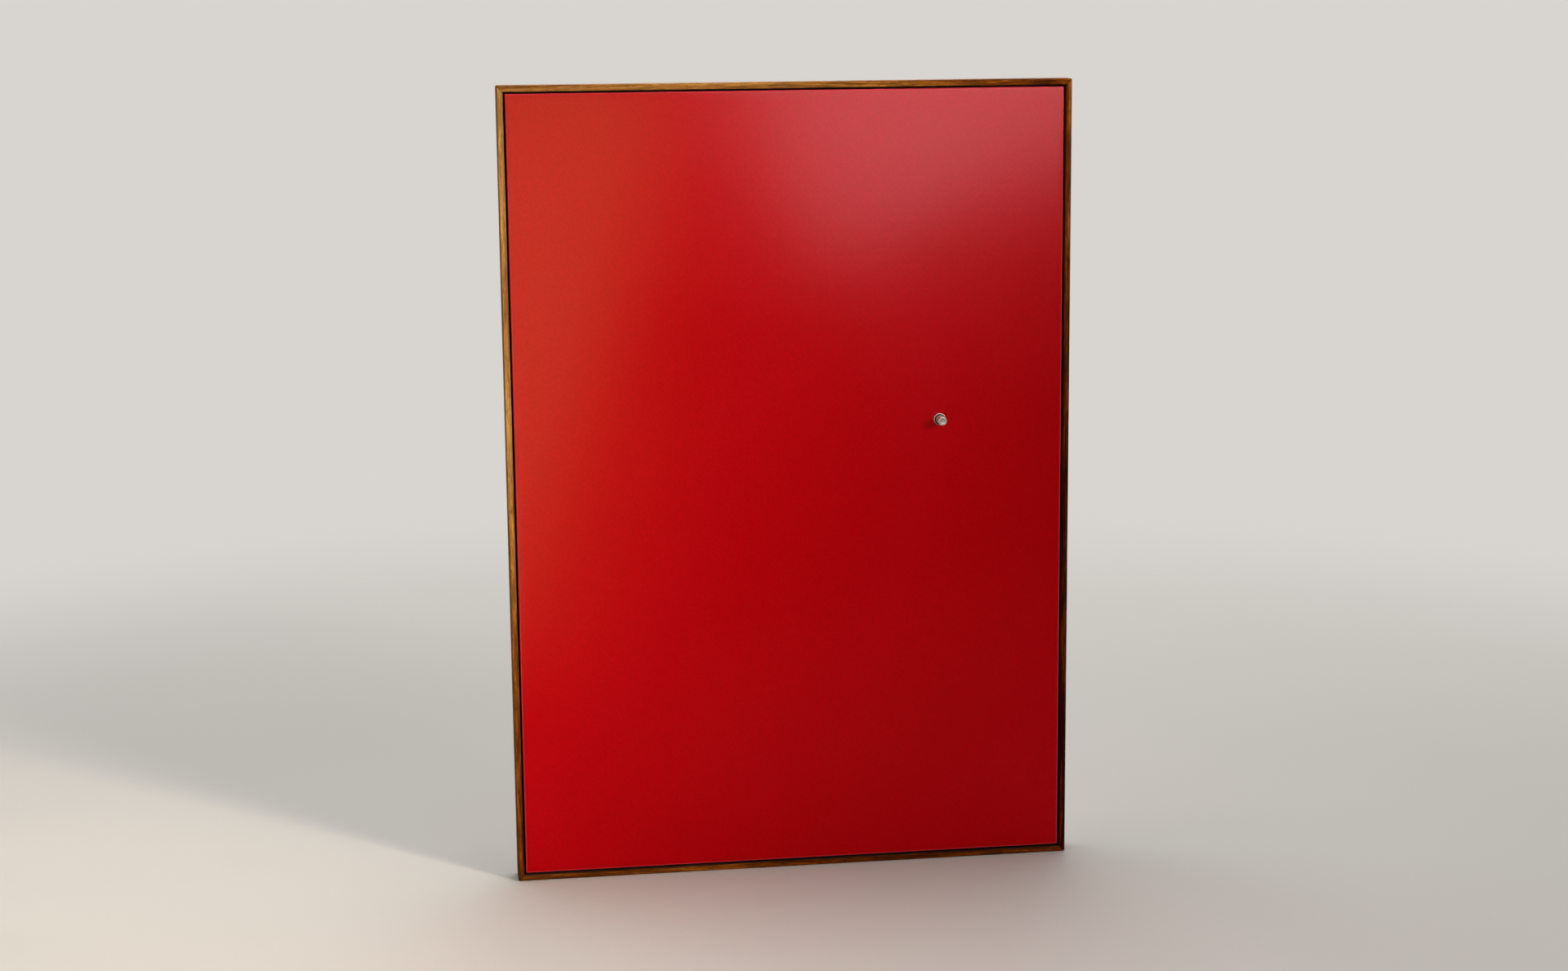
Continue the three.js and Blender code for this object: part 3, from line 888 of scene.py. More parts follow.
def bridge(shape: bmesh.types.BMesh, here: Ring, there: Ring) -> list[bmesh.types.BMFace]:
    """Join two rings of vertices by quads.

    Args:
        shape: The shape that gets the faces.
        here: The first ring.
        there: The second ring, of equal length.

    Returns:
        The faces, in order round the rings.
    """
    faces = []
    for k in range(len(here)):
        after = (k + 1) % len(here)
        faces.append(shape.faces.new((here[k], here[after], there[after], there[k])))
    return faces


def skin(shape: bmesh.types.BMesh, rings: Sequence[Sequence[Vector]]) -> list[list[bmesh.types.BMFace]]:
    """Add a body whose sections are rings of points.

    Args:
        shape: The shape that gets the body.
        rings: Rings of equal length.

    Returns:
        The side faces of each span, in order.
    """
    made = [[shape.verts.new(point) for point in ring] for ring in rings]
    spans = [bridge(shape, here, there) for here, there in zip(made, made[1:])]
    shape.faces.new(made[0])
    shape.faces.new(made[-1])
    return spans


def turn_body(shape: bmesh.types.BMesh, profile: Profile, place: Vector, sides: int) -> None:
    """Add a body turned about the Y axis.

    Args:
        shape: The shape that gets the body.
        profile: Radii and levels, from the axis back to the axis.
        place: Where its axis and its level zero lie.
        sides: The number of facets.
    """
    angles = [TAU * k / sides for k in range(sides)]
    made = []
    for radius, level in profile[1:-1]:
        ring = [place + Vector((radius * math.cos(a), level, radius * math.sin(a))) for a in angles]
        made.append([shape.verts.new(point) for point in ring])
    for here, there in zip(made, made[1:]):
        bridge(shape, here, there)
    for ring, (_, level) in ((made[0], profile[0]), (made[-1], profile[-1])):
        pole = shape.verts.new(place + Vector((0.0, level, 0.0)))
        for k in range(sides):
            shape.faces.new((ring[k], ring[(k + 1) % sides], pole))


def prism(shape: bmesh.types.BMesh, outline: Profile, front: float, back: float) -> None:
    """Add an outline in X and Z, extruded along Y from front to back."""
    skin(shape, [[Vector((x, y, z)) for x, z in outline] for y in (front, back)])


# Geometry trees


def lathe_nodes(
    graph: Graph, profile: Sequence[tuple[SocketValue, SocketValue]], sides: bpy.types.NodeSocket
) -> bpy.types.NodeSocket:
    """Add nodes that turn a profile about the Z axis.

    Args:
        graph: The geometry tree's graph.
        profile: Radii and levels, as numbers or sockets, from the axis back to the axis.
        sides: The number of facets.

    Returns:
        The closed body's socket.
    """
    count = len(profile)
    columns = graph.math("ADD", sides, 1)
    grid = graph.node("GeometryNodeMeshGrid", {"Vertices X": columns, "Vertices Y": count})
    index = graph.node("GeometryNodeInputIndex").outputs[0]
    row = graph.math("MODULO", index, count)
    column = graph.math("FLOOR", graph.math("DIVIDE", graph.math("ADD", index, 0.5), count))
    angle = graph.math("MULTIPLY", graph.math("DIVIDE", column, sides), TAU)
    picked = []
    for values in zip(*profile):
        switch = graph.node("GeometryNodeIndexSwitch", data_type="FLOAT")
        while len(switch.index_switch_items) < count:
            switch.index_switch_items.new()
        for socket, value in zip(switch.inputs, (row, *values)):
            graph.put(socket, value)
        picked.append(switch.outputs[0])
    radius, level = picked
    x = graph.math("MULTIPLY", radius, graph.math("COSINE", angle))
    y = graph.math("MULTIPLY", radius, graph.math("SINE", angle))
    moved = {"Geometry": grid.outputs["Mesh"], "Position": graph.combine(x, y, level)}
    wrapped = graph.node("GeometryNodeSetPosition", moved).outputs[0]
    merging = {"Geometry": wrapped, "Distance": MERGE_DISTANCE}
    return graph.node("GeometryNodeMergeByDistance", merging).outputs[0]


def end_tree(
    graph: Graph, entry: bpy.types.Node, leave: bpy.types.Node, made: bpy.types.NodeSocket
) -> None:
    """End a geometry tree in real meshes of one finish.

    Args:
        graph: The geometry tree's graph.
        entry: The tree's input node, with the input Finish.
        leave: The tree's output node.
        made: What the tree made.
    """
    real = graph.node("GeometryNodeRealizeInstances", {"Geometry": made}).outputs[0]
    finish = {"Geometry": real, "Material": entry.outputs["Finish"]}
    graph.put(leave.inputs[0], graph.node("GeometryNodeSetMaterial", finish).outputs[0])


def set_on_places(
    graph: Graph,
    entry: bpy.types.Node,
    leave: bpy.types.Node,
    shape: bpy.types.NodeSocket,
    rotation: bpy.types.NodeSocket,
) -> None:
    """Set a shape on each of a tree's places, and end the tree.

    Args:
        graph: The geometry tree's graph.
        entry: The tree's input node, with the inputs Places and Finish.
        leave: The tree's output node.
        shape: What is set there.
        rotation: How it is turned.
    """
    instances = {"Points": entry.outputs["Places"], "Instance": shape, "Rotation": rotation}
    made = graph.node("GeometryNodeInstanceOnPoints", instances).outputs["Instances"]
    end_tree(graph, entry, leave, made)


def grow(piece: bpy.types.Object, tree: bpy.types.NodeTree, values: dict[str, object]) -> None:
    """Run a geometry tree on a piece and keep the plain mesh.

    Args:
        piece: The object that holds the tree's starting points.
        tree: The geometry tree.
        values: Its inputs by name.
    """
    grown = piece.modifiers.new(tree.name, "NODES")
    grown.node_group = tree
    for socket in tree.interface.items_tree:
        if socket.in_out == "INPUT" and socket.name in values:
            grown[socket.identifier] = values[socket.name]
    settle(piece)
    finishes = piece.data.materials
    for index in reversed(range(len(finishes))):
        if finishes[index] is None:
            finishes.pop(index=index)


def points_object(
    name: str, places: Sequence[Vector], turns: Sequence[float] | None = None
) -> bpy.types.Object:
    """Make an object of loose points for a geometry tree.

    Args:
        name: The object's name.
        places: The points.
        turns: A turn about Y for each point, kept as the attribute turn.

    Returns:
        The object.
    """
    mesh = bpy.data.meshes.new(name)
    mesh.from_pydata(places, [], [])
    if turns is not None:
        keep_values(mesh, "turn", turns)
    return new_object(name, mesh)


# Screws and nails


@dataclass(frozen=True)
class Screw:
    """A countersunk screw's sizes, worked out from its solid."""

    head: float
    shank: float
    length: float
    point_length: float = 3 * MM
    point_radius: float = 0.3 * MM
    recess_width: float = 0.9 * MM
    recess_reach: float = 1.6 * MM
    recess_depth: float = 0.8 * MM
    sides: int = 36
    clearance: float = 0.15 * MM
    overrun: float = 1 * MM

    def inputs(self) -> dict[str, float]:
        """Give the sizes by the names of the screw tree's inputs."""
        return {item.name.replace("_", " ").title(): getattr(self, item.name) for item in fields(self)}

    def hole(self) -> list[Pair]:
        """Draw the hole, with its mouth at level zero.

        Returns:
            Radii and levels.
        """
        shank = self.shank / 2 + self.clearance
        head = self.head / 2 + self.clearance
        return [
            (0.0, -self.length - self.clearance),
            (shank, -self.length - self.clearance),
            (shank, shank - head),
            (head, 0.0),
            (head, self.overrun),
            (0.0, self.overrun),
        ]


@cache
def screw_tree() -> bpy.types.NodeTree:
    """Build the tree that sets a countersunk screw on each point.

    Returns:
        A geometry tree with named sizes.
    """
    sizes = ("Head", "Shank", "Length", "Point Length", "Point Radius")
    recess = ("Recess Width", "Recess Reach", "Recess Depth")
    inputs = {"Places": GEOMETRY} | {name: FLOAT for name in (*sizes, *recess)}
    inputs |= {"Sides": INTEGER, "Seed": INTEGER, "Finish": MATERIAL}
    graph, entry, leave = new_tree("countersunk_screws", "GeometryNodeTree", inputs, {"Screws": GEOMETRY})
    size = entry.outputs
    head = graph.math("MULTIPLY", size["Head"], 0.5)
    shank = graph.math("MULTIPLY", size["Shank"], 0.5)
    tip = graph.math("MULTIPLY", size["Length"], -1.0)
    point = [(0.0, tip), (size["Point Radius"], tip), (shank, graph.math("ADD", tip, size["Point Length"]))]
    cone = [(shank, graph.math("SUBTRACT", shank, head)), (head, 0.0), (0.0, 0.0)]
    body = lathe_nodes(graph, [*point, *cone], size["Sides"])
    cut = graph.node("GeometryNodeMeshBoolean", {"Mesh 1": body}, operation="DIFFERENCE", solver="EXACT")
    reach = graph.math("MULTIPLY", size["Recess Reach"], 2.0)
    depth = graph.math("MULTIPLY", size["Recess Depth"], 2.0)
    for along, across in ((reach, size["Recess Width"]), (size["Recess Width"], reach)):
        extent = graph.combine(along, across, depth)
        slot = graph.node("GeometryNodeMeshCube", {"Size": extent}).outputs["Mesh"]
        graph.put(cut.inputs["Mesh 2"], slot)
    spread = {2: 0.0, 3: TAU, "Seed": size["Seed"]}
    spin = graph.node("FunctionNodeRandomValue", spread, data_type="FLOAT").outputs[1]
    turns = {"Rotation": graph.rotation(-QUARTER, 0.0, 0.0), "Rotate By": graph.rotation(0.0, 0.0, spin)}
    turned = graph.node("FunctionNodeRotateRotation", turns, rotation_space="LOCAL").outputs[0]
    set_on_places(graph, entry, leave, cut.outputs["Mesh"], turned)
    return graph.tree


@dataclass
class ScrewSet:
    """Alike screws that are driven in from the back."""

    name: str
    nodes: list[str]
    shank: float
    seed: int
    screw: Screw = field(init=False)
    places: list[Vector] = field(init=False)

    def __post_init__(self) -> None:
        """Read the head, the length and the places from the solids."""
        low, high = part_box(self.nodes[0])
        self.screw = Screw(head=high.x - low.x, shank=self.shank, length=high.y - low.y)
        self.places = [middle_of(node, Face.BACK) for node in self.nodes]

    def build(self) -> None:
        """Set the screws and dress them in zinc."""
        piece = points_object(self.name, self.places)
        values = {**self.screw.inputs(), "Seed": self.seed, "Finish": ZINC_PLATE.material()}
        grow(piece, screw_tree(), values)
        smooth(piece)
        dress(piece, Body.BOARD, self.nodes)

    def holes(self, shape: bmesh.types.BMesh, low: Vector, high: Vector) -> None:
        """Add the holes that fall inside a box.

        Args:
            shape: The shape that gets the cutting bodies.
            low: The box's lowest corner.
            high: The box's highest corner.
        """
        for place in self.places:
            if low.x < place.x < high.x and low.z < place.z < high.z:
                turn_body(shape, self.screw.hole(), place, self.screw.sides)


@cache
def nail_tree() -> bpy.types.NodeTree:
    """Build the tree that sets a V-nail on each point, turned by its attribute.

    Returns:
        A geometry tree with named sizes.
    """
    inputs = {"Places": GEOMETRY, "Leg": FLOAT, "Thickness": FLOAT, "Height": FLOAT, "Finish": MATERIAL}
    graph, entry, leave = new_tree("v_nails", "GeometryNodeTree", inputs, {"Nails": GEOMETRY})
    size = entry.outputs
    bent = graph.node("GeometryNodeMeshBoolean", operation="UNION", solver="EXACT")
    back = graph.math("MULTIPLY", size["Height"], -0.5)
    for along, up in ((size["Leg"], size["Thickness"]), (size["Thickness"], size["Leg"])):
        extent = graph.combine(along, size["Height"], up)
        leg = graph.node("GeometryNodeMeshCube", {"Size": extent}).outputs["Mesh"]
        shift = graph.combine(graph.math("MULTIPLY", along, 0.5), back, graph.math("MULTIPLY", up, 0.5))
        moved = graph.node("GeometryNodeTransform", {"Geometry": leg, "Translation": shift}).outputs[0]
        graph.put(bent.inputs["Mesh 2"], moved)
    turn = graph.node("GeometryNodeInputNamedAttribute", {"Name": "turn"}, data_type="FLOAT").outputs[0]
    set_on_places(graph, entry, leave, bent.outputs["Mesh"], graph.rotation(0.0, turn, 0.0))
    return graph.tree


@dataclass
class CornerNails:
    """V-nails that draw the mitres together, flush with the frame's back."""

    nodes: list[str]
    thickness: float = 0.8 * MM
    clearance: float = 0.12 * MM
    overrun: float = 1 * MM

    @staticmethod
    def signs(node: str) -> tuple[int, int]:
        """Tell which corner a nail is in.

        Args:
            node: The nail's name.

        Returns:
            The corner's signs along X and Z.
        """
        middle = (CAD_BOX[0] + CAD_BOX[1]) / 2
        centre = middle_of(node)
        return (1 if centre.x > middle.x else -1, 1 if centre.z > middle.z else -1)

    def heel(self, node: str) -> Vector:
        """Find a nail's outer corner at the frame's back.

        Args:
            node: The nail's name.

        Returns:
            The point.
        """
        low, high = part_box(node)
        side, end = self.signs(node)
        return Vector((high.x if side > 0 else low.x, high.y, high.z if end > 0 else low.z))

    def build(self) -> None:
        """Set the nails and dress them in zinc."""
        low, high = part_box(self.nodes[0])
        turns = {(-1, -1): 0.0, (1, -1): -QUARTER, (1, 1): 2 * QUARTER, (-1, 1): QUARTER}
        heels = [self.heel(node) for node in self.nodes]
        piece = points_object("v_nails", heels, [turns[self.signs(node)] for node in self.nodes])
        values = {
            "Leg": high.x - low.x,
            "Thickness": self.thickness,
            "Height": high.y - low.y,
            "Finish": ZINC_PLATE.material(),
        }
        grow(piece, nail_tree(), values)
        smooth(piece)
        dress(piece, Body.BOARD, self.nodes)

    def slots(self, shape: bmesh.types.BMesh) -> None:
        """Add the slots that the nails were driven into.

        Args:
            shape: The shape that gets the cutting bodies.
        """
        for node in self.nodes:
            low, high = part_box(node)
            side, end = self.signs(node)
            heel = self.heel(node)
            outer, inner = -self.clearance, self.thickness + self.clearance
            tip = high.x - low.x + self.clearance
            bent = [(outer, outer), (tip, outer), (tip, inner), (inner, inner), (inner, tip), (outer, tip)]
            outline = [(heel.x - side * across, heel.z - end * up) for across, up in bent]
            prism(shape, outline, low.y - self.clearance, high.y + self.overrun)


# Frame


@dataclass(frozen=True)
class Member:
    """One length of the frame, and where painted shade along its front changes its wood's colour from one
    depth to another.
    """

    node: str
    name: str
    run: Run
    sign: int
    shift: float
    # The painted shade along the front: its gamma at each end, and the shares of the length where it starts
    # and ends.
    depth: Pair
    change: Pair = (0.0, 1.0)


# Each member's painted shade, where the light on its front falls off.
MEMBERS = (
    Member(
        "frame_top_rail",
        "walnut_top_rail",
        Run.LEVEL,
        sign=1,
        shift=0.31,
        depth=(0.98, 1.85),
        change=(0.4, 1.1),
    ),
    Member(
        "frame_bottom_rail",
        "walnut_bottom_rail",
        Run.LEVEL,
        sign=-1,
        shift=1.73,
        depth=(1.5, 2.0),
    ),
    Member(
        "frame_left_stile",
        "walnut_left_stile",
        Run.UPRIGHT,
        sign=-1,
        shift=2.57,
        depth=(2.15, 0.85),
        change=(-0.2, 0.64),
    ),
    Member(
        "frame_right_stile",
        "walnut_right_stile",
        Run.UPRIGHT,
        sign=1,
        shift=3.19,
        depth=(2.8, 1.6),
    ),
)


@dataclass
class FloatingFrame:
    """Four mitred walnut members round a black rebate."""

    nails: CornerNails
    screws: list[ScrewSet]
    shadow_gap: float = 2 * MM
    outer_ease: float = 1.0 * MM
    inner_ease: float = 0.6 * MM
    ease_swing: float = 0.25
    ease_wave: float = 60 * MM
    ease_rows: Pair = (0.0, 7.0)
    glue_line: float = 0.06 * MM
    corner_round: float = 2.2 * MM
    near_mitre: tuple[float, ...] = (0.5 * MM, 1 * MM, 1.6 * MM, 2.4 * MM, 3.4 * MM, 5 * MM)
    # How far painted shade reaches in from the eased edges, and the dark joint line along the mitres.
    arris_reach: float = 1.2 * MM
    mitre_reach: float = 0.8 * MM
    mitre_depth: float = 1.4
    back_depth: float = 1.4
    ease_steps: int = 6
    run_steps: int = 48
    low: Vector = field(init=False)
    high: Vector = field(init=False)
    face: float = field(init=False)
    flange_front: float = field(init=False)
    rail_width: float = field(init=False)

    def __post_init__(self) -> None:
        """Read the frame's sizes from the solids."""
        left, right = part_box("frame_left_stile"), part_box("frame_right_stile")
        bottom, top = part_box("frame_bottom_rail"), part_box("frame_top_rail")
        self.low = Vector((left[0].x, left[0].y, bottom[0].z))
        self.high = Vector((right[1].x, right[1].y, top[1].z))
        self.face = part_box("steel_panel")[0].x - self.low.x - self.shadow_gap
        self.flange_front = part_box("batten_left")[1].y
        self.rail_width = left[1].x - left[0].x

    def section(self, outer: float, inner: float) -> list[Pair]:
        """Draw the L section, inwards from the outer face and from front to back.

        Args:
            outer: The ease on the outer edges.
            inner: The ease on the inner front edge.

        Returns:
            The section's points.
        """
        front, back = self.low.y, self.high.y
        steps = self.ease_steps
        return [
            *arc((outer, front + outer), outer, 2 * QUARTER, 3 * QUARTER, steps),
            *arc((self.face - inner, front + inner), inner, 3 * QUARTER, 4 * QUARTER, steps),
            (self.face, self.flange_front),
            (self.rail_width, self.flange_front),
            (self.rail_width, back),
            *arc((outer, back - outer), outer, QUARTER, 2 * QUARTER, steps),
        ]

    def place(self, member: Member, along: float, inwards: float, level: float) -> Vector:
        """Put a section's point on a member.

        Args:
            member: The member.
            along: The distance from the member's middle.
            inwards: The distance from its outer face.
            level: The level along Y.

        Returns:
            The point in the frame.
        """
        middle = (self.low + self.high) / 2
        corner = self.high if member.sign > 0 else self.low
        if member.run is Run.LEVEL:
            return Vector((middle.x + along, level, corner.z - member.sign * inwards))
        return Vector((corner.x - member.sign * inwards, level, middle.z + along))

    def eased(self, member: Member, along: float) -> Pair:
        """Let the hand-eased edges wander along a member.

        Args:
            member: The member.
            along: The distance from its middle.

        Returns:
            The outer and the inner ease there.
        """
        places = [Vector((along / self.ease_wave, member.shift, row)) for row in self.ease_rows]
        swing = [1 + self.ease_swing * noise.noise(place) for place in places]
        return self.outer_ease * swing[0], self.inner_ease * swing[1]

    def shares(self, half: float) -> list[float]:
        """Space the sections along a member, closer together near its mitres.

        Args:
            half: Half of the member's length.

        Returns:
            The sections' places, from minus one to one.
        """
        near = [1 - offset / half for offset in (0.0, *self.near_mitre)]
        middle = [near[-1] * (2 * step / self.run_steps - 1) for step in range(1, self.run_steps)]
        return [*(-share for share in near), *middle, *reversed(near)]

    def rounded(self, point: Vector) -> Vector:
        """Round the frame's outer corners, seen from the front.

        Args:
            point: A point of the square frame.

        Returns:
            The point, drawn in where it lies in a corner.
        """
        middle, half = (self.low + self.high) / 2, (self.high - self.low) / 2
        flat = half - Vector((self.corner_round, 0.0, self.corner_round))
        out = point - middle
        over = (abs(out.x) - flat.x, abs(out.z) - flat.z)
        if min(over) <= 0:
            return point
        shrink = max(over) / math.hypot(*over)
        x = math.copysign(flat.x + over[0] * shrink, out.x)
        z = math.copysign(flat.z + over[1] * shrink, out.z)
        return middle + Vector((x, out.y, z))

    def half_length(self, member: Member) -> float:
        """Give half of a member's length."""
        size = self.high - self.low
        return (size.x if member.run is Run.LEVEL else size.z) / 2

    def sweep(self, member: Member) -> bmesh.types.BMesh:
        """Sweep a member between its mitres, with its rebate in the second finish.

        Args:
            member: The member.

        Returns:
            The closed shape.
        """
        half = self.half_length(member)
        glue = self.glue_line / 2 * math.sqrt(2)
        rings = []
        for share in self.shares(half):
            section = self.section(*self.eased(member, share * half))
            swept = [self.place(member, share * (half - u - glue), u, y) for u, y in section]
            rings.append([self.rounded(point) for point in swept])
        shape = bmesh.new()
        rebate = 2 * (self.ease_steps + 1) - 1
        for span in skin(shape, rings):
            for face in span[rebate : rebate + 2]:
                face.material_index = 1
        return shape

    def wood(self, member: Member) -> Timber:
        """Choose a member's wood.

        Args:
            member: The member.

        Returns:
            Its finish.
        """
        start = self.low.x if member.run is Run.LEVEL else self.low.z
        length = 2 * self.half_length(member)
        return Timber(
            member.name,
            member.run,
            WALNUT_TONES,
            shift=member.shift,
            # Where the painted shade runs along the front, and how deep it gets.
            ends=tuple(start + length * share for share in member.change),
            depth=member.depth,
            back_depth=self.back_depth,
        )

    def build_member(self, member: Member) -> None:
        """Sweep one member, cut its holes and slots, and dress it.

        Args:
            member: The member.
        """
        # The rebate takes the second, near-black finish.
        finishes = (self.wood(member).material(), DarkRebate().material())
        piece = solid(member.name, self.sweep(member), *finishes)
        tools = bmesh.new()
        self.nails.slots(tools)
        for screws in self.screws:
            screws.holes(tools, *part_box(member.node))
        carve(piece, tools)
        # Mark the eased edges for painted shade and the mitres for their dark joint line.
        self.mark_arrises(piece, member)
        smooth(piece)
        dress(piece, Body.BOARD, [member.node])

    def mark_arrises(self, piece: bpy.types.Object, member: Member) -> None:
        """Keep how near each point lies to an eased edge, for painted shade, or to a mitre, for its dark
        joint line, as the attribute arris.

        Args:
            piece: The member's object.
            member: The member.
        """
        edges = [(0.0, self.low.y), (self.face, self.low.y), (0.0, self.high.y)]
        start = self.place(member, 0.0, 0.0, 0.0)
        half = self.half_length(member)
        values = []
        for vertex in piece.data.vertices:
            offset = vertex.co - start
            along, inwards = abs(offset.x), abs(offset.z)
            if member.run is Run.UPRIGHT:
                along, inwards = inwards, along
            nearest = min(math.dist((inwards, vertex.co.y), edge) for edge in edges)
            joint = (half - inwards - along) / math.sqrt(2)
            mitre = self.mitre_depth * (1 - joint / self.mitre_reach)
            values.append(max(0.0, 1 - nearest / self.arris_reach, mitre))
        keep_values(piece.data, "arris", values)

    def build(self) -> None:
        """Build the four members."""
        for member in MEMBERS:
            self.build_member(member)


# Panel


@dataclass
class SteelPanel:
    """A steel sheet folded back on all four sides."""

    sheet: float = 1.0 * MM
    inner_bend: float = 0.2 * MM
    bend_steps: int = 6
    shoulder_drop: float = 0.1 * MM
    shoulder_reach: float = 3.5 * MM
    slack: float = 0.12 * MM
    slack_wave: float = 350 * MM
    seam: float = 0.4 * MM
    near_edge: tuple[float, ...] = (0.7 * MM, 1.6 * MM, 3 * MM, 5 * MM, 8 * MM, 13 * MM, 22 * MM)
    spacing: float = 32 * MM
    # How far the painted highlight on the bends reaches.
    thin_reach: float = 1.9 * MM
    low: Vector = field(init=False)
    high: Vector = field(init=False)
    bend: float = field(init=False)

    def __post_init__(self) -> None:
        """Read the panel's box and work out the bend's outer radius."""
        self.low, self.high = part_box("steel_panel")
        self.bend = self.inner_bend + self.sheet

    def lines(self, low: float, high: float) -> list[float]:
        """Space grid lines over the flat, closer together near its edges.

        Args:
            low: The first edge.
            high: The last edge.

        Returns:
            The lines' places.
        """
        inset = self.near_edge[-1]
        count = max(2, round((high - low - 2 * inset) / self.spacing))
        middle = [low + inset + (high - low - 2 * inset) * k / count for k in range(count + 1)]
        near = self.near_edge[:-1]
        return [low, *(low + d for d in near), *middle, *(high - d for d in reversed(near)), high]

    def edges(self, x: float, z: float) -> tuple[float, ...]:
        """Give how far inside each of the panel's sides a place lies."""
        return (x - self.low.x, self.high.x - x, z - self.low.z, self.high.z - z)

    def sag(self, x: float, z: float) -> float:
        """Work out how far the front lies behind a true plane.

        Args:
            x: The place along X.
            z: The place along Z.

        Returns:
            The depth in metres.
        """
        edges = self.edges(x, z)
        shoulder = sum(math.exp(-(edge - self.bend) / self.shoulder_reach) for edge in edges)
        wave = noise.noise(Vector((x / self.slack_wave, 0.0, z / self.slack_wave))) + 1
        calm = min(1.0, (min(edges) - self.bend) / self.near_edge[-1])
        return self.shoulder_drop * shoulder + self.slack * wave * calm

    def front(self, shape: bmesh.types.BMesh, inset: float) -> Ring:
        """Add one side of the sheet's flat.

        Args:
            shape: The shape that gets the faces.
            inset: How far this side lies inside the sheet.

        Returns:
            The boundary's vertices, in order round the flat.
        """
        xs = self.lines(self.low.x + self.bend, self.high.x - self.bend)
        zs = self.lines(self.low.z + self.bend, self.high.z - self.bend)
        level = self.low.y + inset
        grid = [[shape.verts.new((x, level + self.sag(x, z), z)) for z in zs] for x in xs]
        for here, there in zip(grid, grid[1:]):
            for k in range(len(zs) - 1):
                shape.faces.new((here[k], there[k], there[k + 1], here[k + 1]))
        bottom = [column[0] for column in grid]
        top = [column[-1] for column in grid]
        return [*bottom, *grid[-1][1:], *reversed(top[:-1]), *reversed(grid[0][1:-1])]

    def fold(self, shape: bmesh.types.BMesh, rim: Ring, radius: float) -> Ring:
        """Bend a rim back and run it to the fold's edge.

        Args:
            shape: The shape that gets the faces.
            rim: The flat's boundary.
            radius: The bend's radius on this side.

        Returns:
            The last rim.
        """
        margin = self.bend + self.near_edge[0] / 2
        starts = [vertex.co.copy() for vertex in rim]
        ways = []
        for start in starts:
            x = (start.x > self.high.x - margin) - (start.x < self.low.x + margin)
            z = (start.z > self.high.z - margin) - (start.z < self.low.z + margin)
            ways.append(Vector((x, 0.0, z)))
        rings = [rim]
        for step in range(1, self.bend_steps + 1):
            angle = QUARTER * step / self.bend_steps
            out = radius * math.sin(angle)
            back = Vector((0.0, radius * (1 - math.cos(angle)), 0.0))
            bent = [start + way * out + back for start, way in zip(starts, ways, strict=True)]
            rings.append([shape.verts.new(point) for point in bent])
        rings.append([shape.verts.new((v.co.x, self.high.y, v.co.z)) for v in rings[-1]])
        for here, there in zip(rings, rings[1:]):
            bridge(shape, here, there)
        return rings[-1]

    def corner_seams(self) -> bmesh.types.BMesh:
        """Make the cuts between the folds at the corners.

        Returns:
            The cutting bodies.
        """
        tools = bmesh.new()
        reach = 2 * self.bend / math.sqrt(2)
        half = self.seam / 2 / math.sqrt(2)
        front = self.low.y + self.bend + 2 * self.seam
        for x, side in ((self.low.x, -1), (self.high.x, 1)):
            for z, end in ((self.low.z, -1), (self.high.z, 1)):
                outline = []
                for out, across in ((-1, -1), (1, -1), (1, 1), (-1, 1)):
                    dx = side * (out * reach + across * half)
                    dz = end * (out * reach - across * half)
                    outline.append((x + dx, z + dz))
                prism(tools, outline, front, self.high.y + self.sheet)
        return tools

    def mark_bends(self, piece: bpy.types.Object) -> None:
        """Keep how near each point lies to the front's bends, as the attribute bend, which places the
        painted highlight.

        Args:
            piece: The panel's object.
        """
        values = []
        for vertex in piece.data.vertices:
            x, y, z = vertex.co
            distance = math.hypot(min(self.edges(x, z)), y - self.low.y)
            values.append(max(0.0, 1 - distance / self.thin_reach))
        keep_values(piece.data, "bend", values)

    def build(self) -> None:
        """Fold the sheet, cut its corner seams and dress it."""
        shape = bmesh.new()
        sides = ((0.0, self.bend), (self.sheet, self.inner_bend))
        outer, inner = [self.fold(shape, self.front(shape, inset), radius) for inset, radius in sides]
        bridge(shape, outer, inner)
        piece = solid("red_panel", shape, PowderCoat().material())
        carve(piece, self.corner_seams())
        # Mark the bends for their painted highlight.
        self.mark_bends(piece)
        smooth(piece)
        dress(piece, Body.BOARD, ["steel_panel"])


# Back


@dataclass
class BackBoard:
    """The fibreboard core and the pine battens behind it, which keep their solids."""

    battens: tuple[tuple[str, Run], ...] = (
        ("batten_top", Run.LEVEL),
        ("batten_bottom", Run.LEVEL),
        ("batten_left", Run.UPRIGHT),
        ("batten_right", Run.UPRIGHT),
        ("batten_cross", Run.LEVEL),
    )
    shift_step: float = 0.7
    figure: Pair = (700 * MM, 5 * MM)
    pores: Pair = (40 * MM, 1.2 * MM)
    pore_cut: float = 0.62
    pore_strength: float = 0.5
    pore_depth: float = 0.04 * MM
    roughness: Pair = (0.6, 0.8)

    def build(self) -> None:
        """Dress the core and each batten."""
        cover("core_board", Fibreboard().material())
        for number, (node, run) in enumerate(self.battens):
            wood = Timber(
                f"pine_{node}",
                run,
                PINE_TONES,
                shift=self.shift_step * number,
                figure=self.figure,
                pores=self.pores,
                pore_cut=self.pore_cut,
                pore_strength=self.pore_strength,
                pore_depth=self.pore_depth,
                roughness=self.roughness,
            )
            cover(node, wood.material())


# Hangers

BOW_SHARE = 0.499


